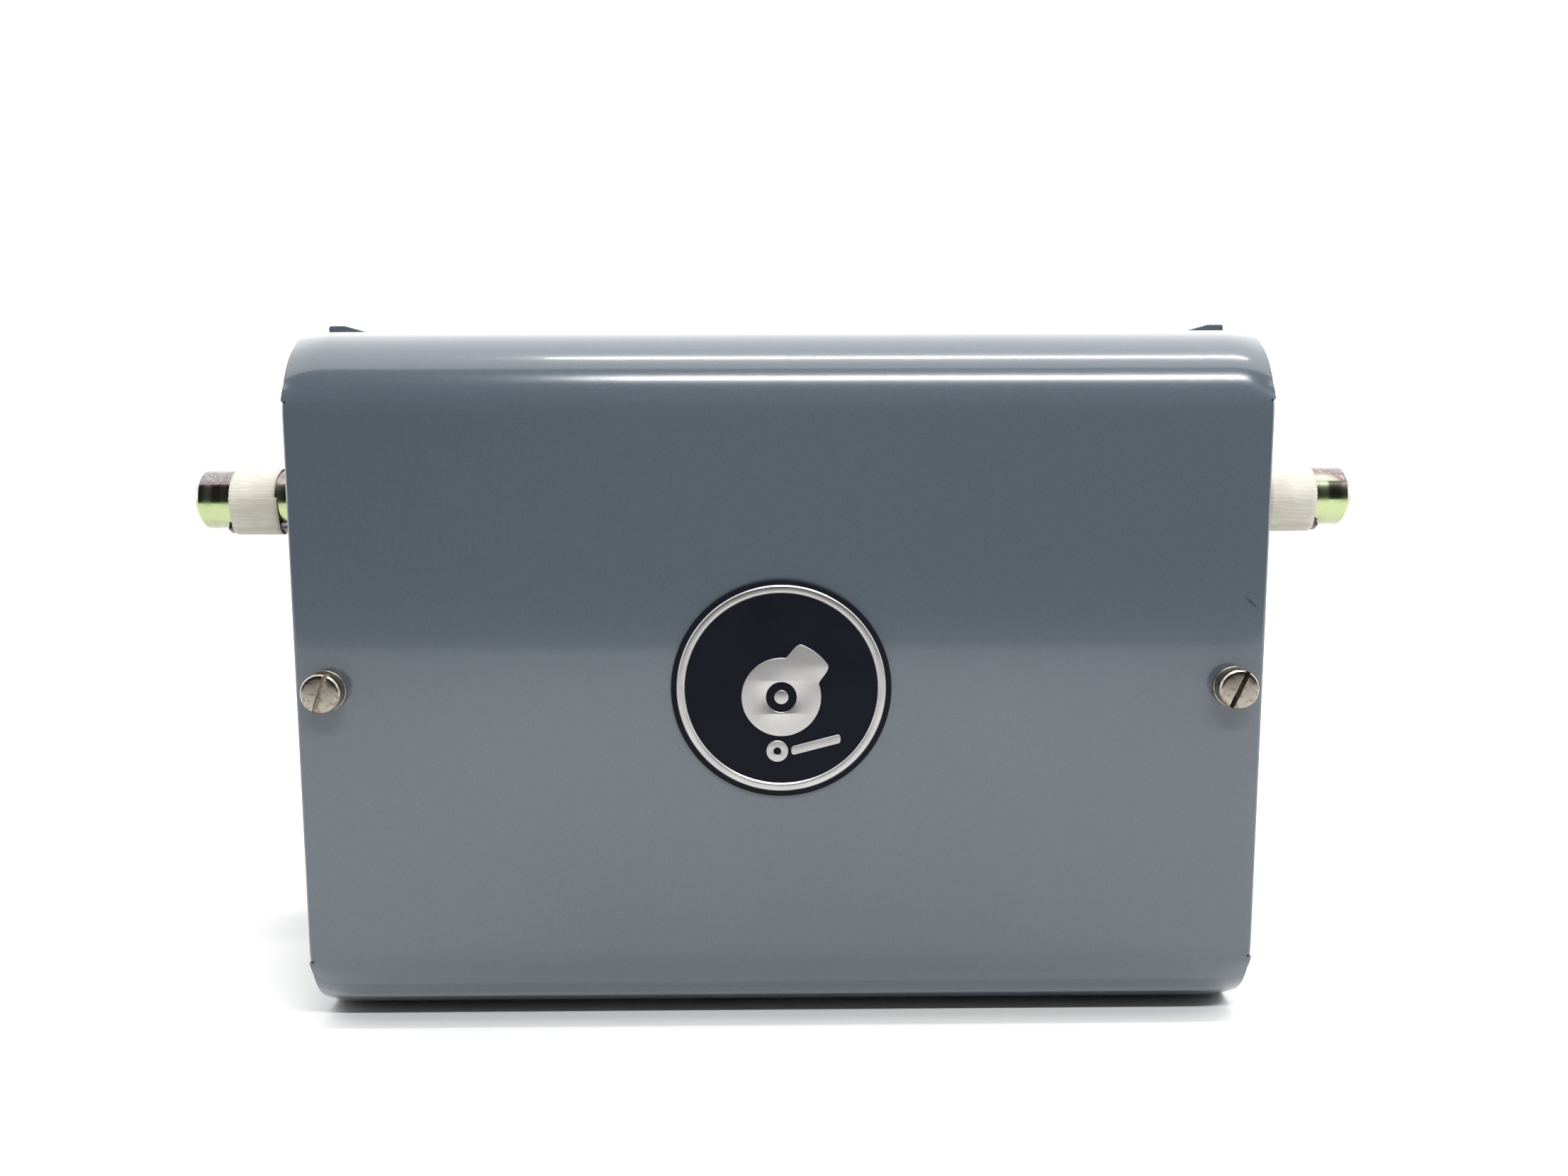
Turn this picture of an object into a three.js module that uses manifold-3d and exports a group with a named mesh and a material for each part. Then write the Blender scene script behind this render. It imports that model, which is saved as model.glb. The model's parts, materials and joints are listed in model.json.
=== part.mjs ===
// Rotary cam limit switch in a sheet-steel case, with a shaft that comes out of both ends.
// Millimetres, +Z up. X runs along the shaft, the front faces -Y, and z = 0 is the plane the case stands on.
import * as THREE from 'three';
import { mergeVertices } from 'three/addons/utils/BufferGeometryUtils.js';
import Module from 'manifold-3d';

const wasm = await Module();
wasm.setup();

// ---------------------------------------------------------------- driving dimensions

// Case
const caseWidth = 229; // over the cover's side flanges
const caseHeight = 169; // over the cover's top and bottom
const caseDepth = 101.6; // from the cover's face to the wall behind
const coverSheet = 1.6;
const rollRadius = 21; // outside of the large bends at the top and bottom of the face
const sideFlangeDepth = 14;
const sideFlangeOverrun = 3.3; // how far a side flange runs on past the start of a roll
const coverGap = 1.4; // between the inside of the cover and the frame under it
const lipGap = 2; // between the cover's lips and the back plate

// Frame
const backSheet = 3;
const endSheet = 2;
const frameFlange = 12; // turned-in edges of the end plates and of the back plate
const sideFootWidth = 22.8; // how far the back plate stands out past the cover on each side
const earRise = 8.6; // how far the back plate's top corners stand above the cover
const earFlat = 5;
const earSlope = 31;
const footCornerRadius = 6;
const mountHoleDiameter = 7.1;
const mountHoleInsetX = 10.3; // from the foot's outer edge
const mountHoleInsetZ = 8.3; // from the level of the cover's top or bottom

// Shaft and its bearings
const shaftDiameter = 15.875;
const shaftReach = 40; // how far the shaft stands out past the cover on each side
const shaftDrop = 42; // from the top of the cover down to the shaft's axis
const shaftShift = -1; // end float taken up to the left
const shaftChamfer = 1.2;
const keyWidth = 3.175;
const keyLength = 15.7;
const keyRise = 1.6; // how far a key stands out of the shaft
const keySink = 2.4; // how deep it sits in the shaft
const keyCorner = 2.16; // rounding of its inner corners
const keyInset = 8; // from the shaft's end to the key
const keyAngle = 30; // degrees from straight down towards the front
const tapeWidth = 12.7;
const tapeThickness = 0.4;
const leftTapeInset = 9.4; // from the shaft's end to the tape
const rightTapeInset = 9.6;
const bushWall = 3;
const bushFlange = 2;
const bushFlangeStep = 1.6;
const housingLength = 15.1; // of the boss, out from the end plate
const housingWall = 3.5;
const housingFlange = 4;
const housingSpigotWall = 2;
const housingBoltSpan = 44;
const housingEarRadius = 6.5;
const housingBoltDiameter = 5.2;
const collarWidth = 8;
const collarWall = 5;

// Cams and the levers under them
const circuitCount = 4;
const circuitPitch = 40;
const camBaseRadius = 22;
const camRise = 4;
const camThickness = 3.85;
const camLobe = 34; // degrees at full radius
const camRamp = 8; // degrees of each ramp
const camOffset = 14; // degrees between the two plates of a pair
const camSlotRadius = 16.5;
const camSlotWidth = 3.2;
const camSlotArc = 44; // degrees
const camHubWall = 5;
const camHubLength = 10;
const firstLobe = 308; // degrees, where the first circuit's lobe stands at rest; its roller is at 270
const rollerRadius = 6;
const rollerWidth = 9;
const rollerPinRadius = 2;
const rollerPinOverhang = 0.5; // of the pin past a lever's cheek
const leverReach = 28; // from the lever's pivot to its roller
const leverCheek = 2;
const leverCheekGap = 10;
const leverNoseRadius = 4.5;
const leverBossRadius = 6;
const leverWeb = 2.5;
const leverWebReach = 19; // from the pivot to the web's front edge
const pivotRodRadius = 3;
const pivotRodOverhang = 1.6;

// Contact blocks
const blockWidth = 32;
const blockDepth = 38;
const blockHeight = 44;
const blockPivotGap = 2; // the blocks' backs stand just in front of the pivot
const blockStepDepth = 8;
const blockStepHeight = 16;
const blockTopGap = 2.7; // from the block to the web of a lever that is right down
const barrierWidth = 2;
const barrierHeight = 24;
const barrierDrop = 2; // from the block's top to its barriers'
const plungerReach = 16; // from the lever's pivot to the plunger
const plungerRadius = 2.5;
const plungerTipRadius = 1;
const plungerTip = 1.5;
const plungerSink = 12;
const springLength = 8;
const springRadius = 1.75;
const springWire = 0.7;
const springTurns = 4;
const springSteps = 9; // of each turn
const railSheet = 2;
const railHeight = 34;

// Cover screws, badge, plugs and earth screw
const coverScrewInset = 7.5; // from the cover's side to the screw's axis
const screwShankRadius = 2.4;
const screwHeadRadius = 4.7;
const screwHeadHeight = 3.7;
const screwHeadEdge = 0.6;
const screwSlotWidth = 1.2;
const screwSlotDepth = 1.8;
const screwLength = 13; // from under the head
const leftSlotAngle = 19; // degrees from upright
const rightSlotAngle = 24;
const washerRadius = 4.9;
const washerThickness = 0.8;
const retainerRadius = 4.2;
const retainerThickness = 0.7;
const nutWall = 0.75;
const nutLength = 5;
const badgeRadius = 26;
const badgeThickness = 0.7;
const badgeRimInset = 1.3;
const badgeRimWidth = 2;
const badgeRelief = 0.4;
const emblemRadius = 9.4;
const emblemRise = 4;
const emblemBore = 3.6;
const emblemDrop = 1.9; // of the pictogram's bore below the badge's middle
const emblemLobeAt = 52; // degrees above the horizontal
const conduitRadius = 11.1;
const conduitHeight = 30;
const conduitSetback = 14; // behind the shaft's axis
const plugLip = 2.2;
const plugThickness = 1.5;
const plugStub = 1; // of the plug inside the end plate
const earthScrewRadius = 2.5;
const earthHeadRadius = 5;
const earthHeadHeight = 4;
const earthScrewInset = 30.5; // from the cover's side
const earthScrewDrop = 2; // below the middle of the room under the contact rail

// Clearances
const seatGap = 0.1; // between pieces that are fastened together
const runGap = 0.1; // round a pin or shaft that turns in a hole
const sideGap = 0.2; // beside a piece that turns
const touchGap = 0.3; // between pieces that push on each other
const overCut = 1; // how far a cut runs on past the face it goes through

// ---------------------------------------------------------------- derived places

const frontFace = -caseDepth / 2;
const wallFace = caseDepth / 2;
const backFace = wallFace - backSheet; // front of the back plate
const coverInside = frontFace + coverSheet;
const frameFront = coverInside + coverGap;
const frameBottom = coverSheet + coverGap;
const frameTop = caseHeight - frameBottom;
const endOuter = caseWidth / 2 - coverSheet - coverGap / 2; // outer side of an end plate
const endInner = endOuter - endSheet;
const betweenFlanges = endInner - frameFlange - 1; // half the room between the end plates' turned-in edges
const midHeight = caseHeight / 2;
const shaftRadius = shaftDiameter / 2;
const shaftLength = caseWidth + 2 * shaftReach;
const shaftHeight = caseHeight - shaftDrop;
const bushRadius = shaftRadius + bushWall;
const spigotRadius = bushRadius + housingSpigotWall;
const bossRadius = bushRadius + housingWall;
const bushFace = endInner - bushFlange - seatGap; // inner side of a bush
const collarFace = bushFace - sideGap;
const coverScrewX = caseWidth / 2 - coverScrewInset;
const rollerDrop = camBaseRadius + camRise + touchGap + rollerRadius; // with the lever pushed right down
const earthScrewX = caseWidth / 2 - earthScrewInset;
const pivotHeight = shaftHeight - rollerDrop;
const webUnderside = pivotHeight - leverBossRadius;
const blockTop = webUnderside - blockTopGap;
const blockBack = leverReach - blockPivotGap;
const blockFront = blockBack - blockDepth;
const blockBottom = blockTop - blockHeight;
const plungerY = leverReach - plungerReach;
const plungerTop = webUnderside - touchGap;
const plungerFoot = blockTop - plungerSink;
const railFront = blockBack + seatGap;
const railTop = blockTop - (blockHeight - railHeight) / 2;
const railBottom = railTop - railHeight;
const earthScrewHeight = (frameBottom + endSheet + railBottom) / 2 - earthScrewDrop;
const round = 40; // sides of a large round piece
const fine = 20; // sides of a small one

// ---------------------------------------------------------------- materials

const finish = (color, roughness, metalness) => (
  new THREE.MeshStandardMaterial({ color, roughness, metalness }));
const greyPaint = finish(0x5d6a74, 0.32, 0);
const darkPaint = finish(0x3a434b, 0.45, 0);
const yellowZinc = finish(0x9c9468, 0.3, 1);
const nickel = finish(0x9a9488, 0.35, 1);
const castMetal = finish(0x8d9092, 0.5, 0.8);
const bronze = finish(0x9a7440, 0.4, 1);
const camSteel = finish(0xa4a59e, 0.35, 1);
const blackMoulding = finish(0x17181a, 0.5, 0);
const paperTape = finish(0xd9d4c6, 0.85, 0);
const badgeBlack = finish(0x10141d, 0.4, 0);
const badgeSilver = finish(0xc2c1be, 0.35, 0.9);

// ---------------------------------------------------------------- shape helpers

/** Turns a closed geometry into a solid that can be joined and cut. */
function solid(geometry) {
  geometry.deleteAttribute('normal');
  geometry.deleteAttribute('uv');
  const welded = mergeVertices(geometry, 1e-4);
  return new wasm.Manifold(new wasm.Mesh({
    numProp: 3,
    vertProperties: new Float32Array(welded.attributes.position.array),
    triVerts: new Uint32Array(welded.index.array),
  }));
}

/** Turns a solid back into a geometry. */
function geometryOf(piece) {
  const mesh = piece.getMesh();
  const geometry = new THREE.BufferGeometry();
  geometry.setAttribute('position', new THREE.BufferAttribute(new Float32Array(mesh.vertProperties), 3));
  geometry.setIndex(new THREE.BufferAttribute(new Uint32Array(mesh.triVerts), 1));
  return geometry;
}

/** A block between two corners, each range given as [from, to]. */
function block([x0, x1], [y0, y1], [z0, z1]) {
  const geometry = new THREE.BoxGeometry(Math.abs(x1 - x0), Math.abs(y1 - y0), Math.abs(z1 - z0));
  return solid(geometry.translate((x0 + x1) / 2, (y0 + y1) / 2, (z0 + z1) / 2));
}

/** Points along an arc of an outline, ends included, angles in degrees. */
function arc(cx, cy, radius, from, to, steps) {
  return Array.from({ length: steps + 1 }, (_, i) => {
    const angle = THREE.MathUtils.degToRad(from + ((to - from) * i) / steps);
    return new THREE.Vector2(cx + radius * Math.cos(angle), cy + radius * Math.sin(angle));
  });
}

/** A closed outline through single points, given as [x, y], and runs of points. */
function outline(...runs) {
  const points = runs.flatMap((run) => (run[0] instanceof THREE.Vector2 ? run : [new THREE.Vector2(...run)]));
  return new THREE.Shape(points);
}

const extrude = (shape, length) => new THREE.ExtrudeGeometry(shape, { depth: length, bevelEnabled: false });
const intoX = new THREE.Matrix4().makeBasis(
  new THREE.Vector3(0, 1, 0), new THREE.Vector3(0, 0, 1), new THREE.Vector3(1, 0, 0));
const intoY = new THREE.Matrix4().makeBasis(
  new THREE.Vector3(1, 0, 0), new THREE.Vector3(0, 0, 1), new THREE.Vector3(0, -1, 0));

/** A Y-Z outline drawn out along X. */
function alongX(shape, [x0, x1]) {
  return solid(extrude(shape, Math.abs(x1 - x0)).applyMatrix4(intoX).translate(Math.min(x0, x1), 0, 0));
}

/** An X-Z outline drawn out along Y. */
function alongY(shape, [y0, y1]) {
  return solid(extrude(shape, y1 - y0).applyMatrix4(intoY).translate(0, y1, 0));
}

const circle = (radius, cx, cy, sides = fine) => new THREE.Shape(arc(cx, cy, radius, 0, 360, sides).slice(1));
const rodX = (radius, range, y, z, sides) => alongX(circle(radius, y, z, sides), range);
const rodY = (radius, range, x, z, sides) => alongY(circle(radius, x, z, sides), range);

/** A round piece about Z, from its half section as [radius, z] points. */
function turned(section, sides = fine) {
  const points = section.map((point) => new THREE.Vector2(...point));
  return solid(new THREE.LatheGeometry(points, sides).rotateX(Math.PI / 2));
}

/** A range along X, given for the right-hand side and mirrored for the left. */
const onSide = (side, inner, outer) => [side * inner, side * outer];

/** A named mesh of one solid. */
function part(name, piece, material) {
  const mesh = new THREE.Mesh(geometryOf(piece), material);
  mesh.name = name;
  return mesh;
}

// ---------------------------------------------------------------- case

/** Face, top and bottom of the cover in one bent sheet, with a flange down each side of the face. */
function frontCover() {
  const lip = backFace - lipGap;
  const inner = rollRadius - coverSheet;
  const bend = frontFace + rollRadius;
  const rollSteps = 12;
  const upper = caseHeight - rollRadius;
  const profile = outline(
    [lip, caseHeight], arc(bend, upper, rollRadius, 90, 180, rollSteps),
    arc(bend, rollRadius, rollRadius, 180, 270, rollSteps), [lip, 0],
    [lip, coverSheet], arc(bend, rollRadius, inner, 270, 180, rollSteps),
    arc(bend, upper, inner, 180, 90, rollSteps), [lip, caseHeight - coverSheet]);
  let cover = alongX(profile, [-caseWidth / 2, caseWidth / 2]);
  for (const side of [-1, 1]) {
    const flangeX = onSide(side, caseWidth / 2 - coverSheet, caseWidth / 2);
    const flangeY = [coverInside - coverSheet / 2, frontFace + sideFlangeDepth];
    const screwHole = [frontFace - overCut, coverInside + overCut];
    cover = cover.add(block(flangeX, flangeY, [rollRadius, caseHeight - rollRadius]));
    cover = cover.add(flangeEnd(side, 1)).add(flangeEnd(side, -1));
    cover = cover.subtract(rodY(screwShankRadius + touchGap, screwHole, side * coverScrewX, midHeight));
  }
  return cover;
}

/** The short end of a side flange, which follows the start of a roll; up is 1 for the top one, else -1. */
function flangeEnd(side, up) {
  const start = midHeight + up * (midHeight - rollRadius);
  const end = start + up * sideFlangeOverrun;
  const radius = rollRadius - coverSheet / 2; // half way through the sheet
  const lean = THREE.MathUtils.radToDeg(Math.asin(sideFlangeOverrun / radius));
  const face = arc(frontFace + rollRadius, start, radius, 180, 180 - up * lean, 3);
  const corner = [frontFace + sideFlangeDepth, end];
  const foot = [frontFace + sideFlangeDepth, start];
  const points = up > 0 ? outline(face.reverse(), foot, corner) : outline(face, corner, foot);
  return alongX(points, onSide(side, caseWidth / 2 - coverSheet, caseWidth / 2));
}

/** The plate that bolts to the wall: side feet with holes, raised top corners and two turned-in edges. */
function backPlate() {
  const half = caseWidth / 2 + sideFootWidth;
  const earTop = caseHeight + earRise;
  const corner = footCornerRadius;
  const earFoot = half - earFlat - earSlope;
  const plate = outline(
    arc(-half + corner, corner, corner, 180, 270, 6), arc(half - corner, corner, corner, 270, 360, 6),
    [half, earTop], [half - earFlat, earTop], [earFoot, caseHeight],
    [-earFoot, caseHeight], [-half + earFlat, earTop], [-half, earTop]);
  const through = [backFace - overCut, wallFace + overCut];
  const flangeDepth = [backFace - frameFlange, backFace + backSheet / 2];
  let piece = alongY(plate, [backFace, wallFace]);
  for (const z of [frameBottom, frameTop - endSheet]) {
    piece = piece.add(block([-betweenFlanges, betweenFlanges], flangeDepth, [z, z + endSheet]));
  }
  for (const side of [-1, 1]) {
    for (const z of [mountHoleInsetZ, caseHeight - mountHoleInsetZ]) {
      piece = piece.subtract(rodY(mountHoleDiameter / 2, through, side * (half - mountHoleInsetX), z));
    }
  }
  return piece.subtract(rodY(earthScrewRadius + seatGap, through, earthScrewX, earthScrewHeight));
}

/** An end of the frame, with its front and back edges turned in. */
function endPlate(side) {
  const bend = frontFace + rollRadius;
  const radius = rollRadius - coverSheet - coverGap;
  const back = backFace - seatGap;
  const sideView = outline(
    [back, frameTop], arc(bend, caseHeight - rollRadius, radius, 90, 180, 8),
    arc(bend, rollRadius, radius, 180, 270, 8), [back, frameBottom]);
  let plate = alongX(sideView, onSide(side, endInner, endOuter));
  const flangeX = onSide(side, endInner - frameFlange, endInner + endSheet / 2);
  const flangeZ = [rollRadius + endSheet, caseHeight - rollRadius - endSheet];
  plate = plate.add(block(flangeX, [frameFront, frameFront + endSheet], flangeZ));
  plate = plate.add(block(flangeX, [back - endSheet, back], flangeZ));
  const through = onSide(side, endInner - overCut, endOuter + overCut);
  plate = plate.subtract(rodX(spigotRadius + seatGap, through, 0, shaftHeight, round));
  plate = plate.subtract(rodX(conduitRadius, through, conduitSetback, conduitHeight));
  plate = plate.subtract(rodX(pivotRodRadius + seatGap, through, leverReach, pivotHeight));
  for (const y of [-housingBoltSpan / 2, housingBoltSpan / 2]) {
    plate = plate.subtract(rodX(housingBoltDiameter / 2, through, y, shaftHeight, fine / 2));
  }
  const nutHole = [frameFront - overCut, frameFront + endSheet + overCut];
  return plate.subtract(rodY(screwShankRadius + nutWall + seatGap, nutHole, side * coverScrewX, midHeight));
}

/** Two-bolt flanged housing outside an end plate. */
function bearingHousing(side) {
  const base = endOuter + seatGap;
  const reach = housingBoltSpan / 2;
  const lean = THREE.MathUtils.radToDeg(Math.acos((bossRadius - housingEarRadius) / reach));
  const diamond = outline(
    arc(reach, shaftHeight, housingEarRadius, -lean, lean, 6),
    arc(0, shaftHeight, bossRadius, lean, 180 - lean, 8),
    arc(-reach, shaftHeight, housingEarRadius, 180 - lean, 180 + lean, 6),
    arc(0, shaftHeight, bossRadius, 180 + lean, 360 - lean, 8));
  const boss = onSide(side, base + housingFlange / 2, base + housingLength);
  const spigot = onSide(side, endInner, base + housingFlange / 2);
  const bore = onSide(side, endInner - overCut, base + housingLength + overCut);
  const boltHole = onSide(side, base - overCut, base + housingFlange + overCut);
  let housing = alongX(diamond, onSide(side, base, base + housingFlange));
  housing = housing.add(rodX(bossRadius, boss, 0, shaftHeight, round));
  housing = housing.add(rodX(spigotRadius, spigot, 0, shaftHeight, round));
  housing = housing.subtract(rodX(bushRadius + seatGap, bore, 0, shaftHeight, round));
  for (const y of [-reach, reach]) {
    housing = housing.subtract(rodX(housingBoltDiameter / 2, boltHole, y, shaftHeight, fine / 2));
  }
  return housing;
}

/** Flanged bronze bush that the shaft turns in. */
function bush(side) {
  const outer = endOuter + seatGap + housingLength + seatGap;
  const flange = onSide(side, bushFace, bushFace + bushFlange);
  const bore = onSide(side, bushFace - overCut, outer + overCut);
  let sleeve = rodX(bushRadius, onSide(side, bushFace + bushFlange / 2, outer), 0, shaftHeight, round);
  sleeve = sleeve.add(rodX(bushRadius + bushFlangeStep, flange, 0, shaftHeight, round));
  return sleeve.subtract(rodX(shaftRadius + runGap, bore, 0, shaftHeight, round));
}

/** Press nut in an end plate's front edge, which takes a cover screw. */
function pressNut(side) {
  const range = [frameFront, frameFront + endSheet + nutLength];
  const bore = [range[0] - overCut, range[1] + overCut];
  const body = rodY(screwShankRadius + nutWall, range, side * coverScrewX, midHeight);
  return body.subtract(rodY(screwShankRadius + runGap, bore, side * coverScrewX, midHeight));
}

/** Snap-in button that closes a conduit hole. */
function conduitPlug(side) {
  const base = endOuter + seatGap;
  const cap = onSide(side, base, base + plugThickness);
  const stub = onSide(side, endInner - plugStub, base + plugThickness / 2);
  return rodX(conduitRadius + plugLip, cap, conduitSetback, conduitHeight)
    .add(rodX(conduitRadius - 2 * seatGap, stub, conduitSetback, conduitHeight));
}

/** Earth screw through the back plate. */
function earthScrew() {
  const head = [backFace - earthHeadHeight, backFace - seatGap];
  const shank = [backFace - earthHeadHeight / 2, wallFace - seatGap];
  return rodY(earthHeadRadius, head, earthScrewX, earthScrewHeight, 6)
    .add(rodY(earthScrewRadius, shank, earthScrewX, earthScrewHeight));
}

// ---------------------------------------------------------------- cover fittings

/** Slotted cheese-head screw, about Y, with its head out of the cover. */
function coverScrew(side, slotAngle) {
  const under = frontFace - washerThickness - 2 * seatGap;
  const face = under - screwHeadHeight;
  const tip = -screwHeadHeight - screwLength;
  const half = screwSlotWidth / 2;
  const slotReach = screwHeadRadius + overCut;
  const slot = block([-half, half], [-slotReach, slotReach], [-screwSlotDepth, overCut]);
  const screw = turned([
    [0, tip], [screwShankRadius, tip],
    [screwShankRadius, -screwHeadHeight], [screwHeadRadius, -screwHeadHeight],
    [screwHeadRadius, -screwHeadEdge], [screwHeadRadius - screwHeadEdge, 0], [0, 0],
  ]);
  return screw.subtract(slot).rotate([0, 0, -slotAngle]).rotate([90, 0, 0])
    .translate([side * coverScrewX, face, midHeight]);
}

/** Flat ring round a cover screw. */
function ring(side, radius, range) {
  const bore = [range[0] - overCut, range[1] + overCut];
  const disc = rodY(radius, range, side * coverScrewX, midHeight);
  return disc.subtract(rodY(screwShankRadius + runGap, bore, side * coverScrewX, midHeight));
}

/** Round maker's plate with a raised rim. */
function badgePlate() {
  const face = frontFace - seatGap - badgeThickness;
  const rimOuter = badgeRadius - badgeRimInset;
  const rimInner = [face - badgeRelief - overCut, face + overCut];
  const rim = rodY(rimOuter, [face - badgeRelief, face + badgeThickness / 2], 0, midHeight, round)
    .subtract(rodY(rimOuter - badgeRimWidth, rimInner, 0, midHeight, round));
  return rodY(badgeRadius, [face, frontFace - seatGap], 0, midHeight, round).add(rim);
}

/** Raised pictogram of a cam wheel on the badge. */
function badgeEmblem() {
  const face = frontFace - seatGap - badgeThickness;
  const height = midHeight - emblemDrop;
  const range = [face - badgeRelief - seatGap, face - seatGap];
  const bore = [range[0] - overCut, range[1] + overCut];
  const wheel = camOutline(emblemRadius, emblemRise, emblemLobeAt, camLobe, 2 * camRamp);
  return alongY(wheel, range).translate([0, 0, height]).subtract(rodY(emblemBore, bore, 0, height));
}

// ---------------------------------------------------------------- shaft and cams, about the shaft's axis

/** The through shaft, with a keyway near each end. */
function camShaft() {
  const half = shaftLength / 2;
  const section = [
    [0, -half], [shaftRadius - shaftChamfer, -half], [shaftRadius, -half + shaftChamfer],
    [shaftRadius, half - shaftChamfer], [shaftRadius - shaftChamfer, half], [0, half],
  ];
  let shaft = turned(section, round).rotate([0, 90, 0]).translate([shaftShift, 0, 0]);
  for (const side of [-1, 1]) shaft = shaft.subtract(keyBody(side, seatGap));
  return shaft;
}

/** A round-ended key, grown by a gap when it cuts its own seat. */
function keyBody(side, gap) {
  const end = shaftShift + side * (shaftLength / 2 - keyInset);
  const middle = end - (side * keyLength) / 2;
  const top = shaftRadius + keyRise + gap;
  const bottom = shaftRadius - keySink - gap;
  const half = keyLength / 2 + gap;
  const key = outline([-half, top], [-half, bottom + keyCorner], [-half + keyCorner, bottom],
    [half - keyCorner, bottom], [half, bottom + keyCorner], [half, top]);
  return alongY(key, [-keyWidth / 2 - gap, keyWidth / 2 + gap])
    .translate([middle, 0, 0]).rotate([180 - keyAngle, 0, 0]);
}

/** One turn of paper tape over the shaft and its key. */
function keyTape(side, inset) {
  const outerEnd = shaftShift + side * (shaftLength / 2 - inset);
  const range = [outerEnd, outerEnd - side * tapeWidth];
  const wrap = (radius, rise, half) => {
    const peak = Math.hypot(rise, half);
    const lean = THREE.MathUtils.radToDeg(Math.atan2(half, rise) + Math.acos(radius / peak));
    return outline([half, rise], arc(0, 0, radius, 90 - lean, -270 + lean, 40), [-half, rise]);
  };
  const rise = shaftRadius + keyRise + seatGap;
  const half = keyWidth / 2 + seatGap;
  const outside = wrap(shaftRadius + seatGap + tapeThickness, rise + tapeThickness, half + tapeThickness);
  const inside = wrap(shaftRadius + seatGap, rise, half);
  const bore = [Math.min(...range) - overCut, Math.max(...range) + overCut];
  return alongX(outside, range).subtract(alongX(inside, bore)).rotate([180 - keyAngle, 0, 0]);
}

/** Thrust collar that holds the shaft endways. */
function thrustCollar(side) {
  const range = onSide(side, collarFace - collarWidth, collarFace);
  const bore = onSide(side, collarFace - collarWidth - overCut, collarFace + overCut);
  const body = rodX(shaftRadius + collarWall, range, 0, 0, round);
  return body.subtract(rodX(shaftRadius + seatGap, bore, 0, 0, round));
}

/** Outline of a cam with one lobe, angles in degrees. */
function camOutline(base, rise, centre, lobe, ramp) {
  const from = centre - lobe / 2;
  const to = centre + lobe / 2;
  return outline(arc(0, 0, base + rise, from, to, 5), arc(0, 0, base, to + ramp, from - ramp + 360, 30));
}

/** A cam plate with a hub, clamped to the shaft. */
function fixedCam(lobeAt) {
  const shape = camOutline(camBaseRadius, camRise, lobeAt, camLobe, camRamp);
  const hubEnd = -seatGap - camThickness - camHubLength;
  const hub = rodX(shaftRadius + camHubWall, [hubEnd, -seatGap - camThickness / 2], 0, 0, round);
  const bore = rodX(shaftRadius + seatGap, [hubEnd - overCut, overCut], 0, 0, round);
  return alongX(shape, [-seatGap - camThickness, -seatGap]).add(hub).subtract(bore);
}

/** The cam plate that is turned to lengthen the lobe, with its two clamping slots. */
function settingCam(lobeAt) {
  const range = [seatGap, seatGap + camThickness];
  const through = [range[0] - overCut, range[1] + overCut];
  let plate = alongX(camOutline(camBaseRadius, camRise, lobeAt + camOffset, camLobe, camRamp), range);
  for (const middle of [lobeAt + 90, lobeAt + 270]) {
    const from = middle - camSlotArc / 2;
    const to = middle + camSlotArc / 2;
    const outer = arc(0, 0, camSlotRadius + camSlotWidth / 2, from, to, 6);
    const inner = arc(0, 0, camSlotRadius - camSlotWidth / 2, to, from, 6);
    plate = plate.subtract(alongX(outline(outer, inner), through));
  }
  return plate.subtract(rodX(shaftRadius + seatGap, through, 0, 0, round));
}

// ---------------------------------------------------------------- one circuit, about the shaft's axis

/** Two cheeks joined by a web, which carry the roller and push the plunger. */
function followerLever() {
  const z = -rollerDrop;
  const cheekOutline = outline(
    arc(leverReach, z, leverBossRadius, -90, 90, 8), arc(0, z, leverNoseRadius, 90, 270, 8),
    [leverReach - leverWebReach, z - leverBossRadius]);
  const outer = leverCheekGap / 2 + leverCheek;
  const between = [-leverCheekGap / 2, leverCheekGap / 2];
  const through = [-outer - overCut, outer + overCut];
  const front = -rollerRadius - overCut;
  const above = z + leverBossRadius + overCut;
  const below = z - leverBossRadius - overCut;
  const webTop = z - leverBossRadius + leverWeb;
  let lever = alongX(cheekOutline, [-outer, outer]);
  lever = lever.subtract(block(between, [front, leverReach - leverBossRadius], [webTop, above]));
  lever = lever.subtract(block(between, [front, leverReach - leverWebReach], [below, above]));
  lever = lever.subtract(rodX(pivotRodRadius + runGap, through, leverReach, z));
  return lever.subtract(rodX(rollerPinRadius + runGap, through, 0, z));
}

/** Roller in one piece with its pin. */
function camRoller() {
  const pin = leverCheekGap / 2 + leverCheek + rollerPinOverhang;
  const wheel = rodX(rollerRadius, [-rollerWidth / 2, rollerWidth / 2], 0, -rollerDrop);
  return wheel.add(rodX(rollerPinRadius, [-pin, pin], 0, -rollerDrop));
}

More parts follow.
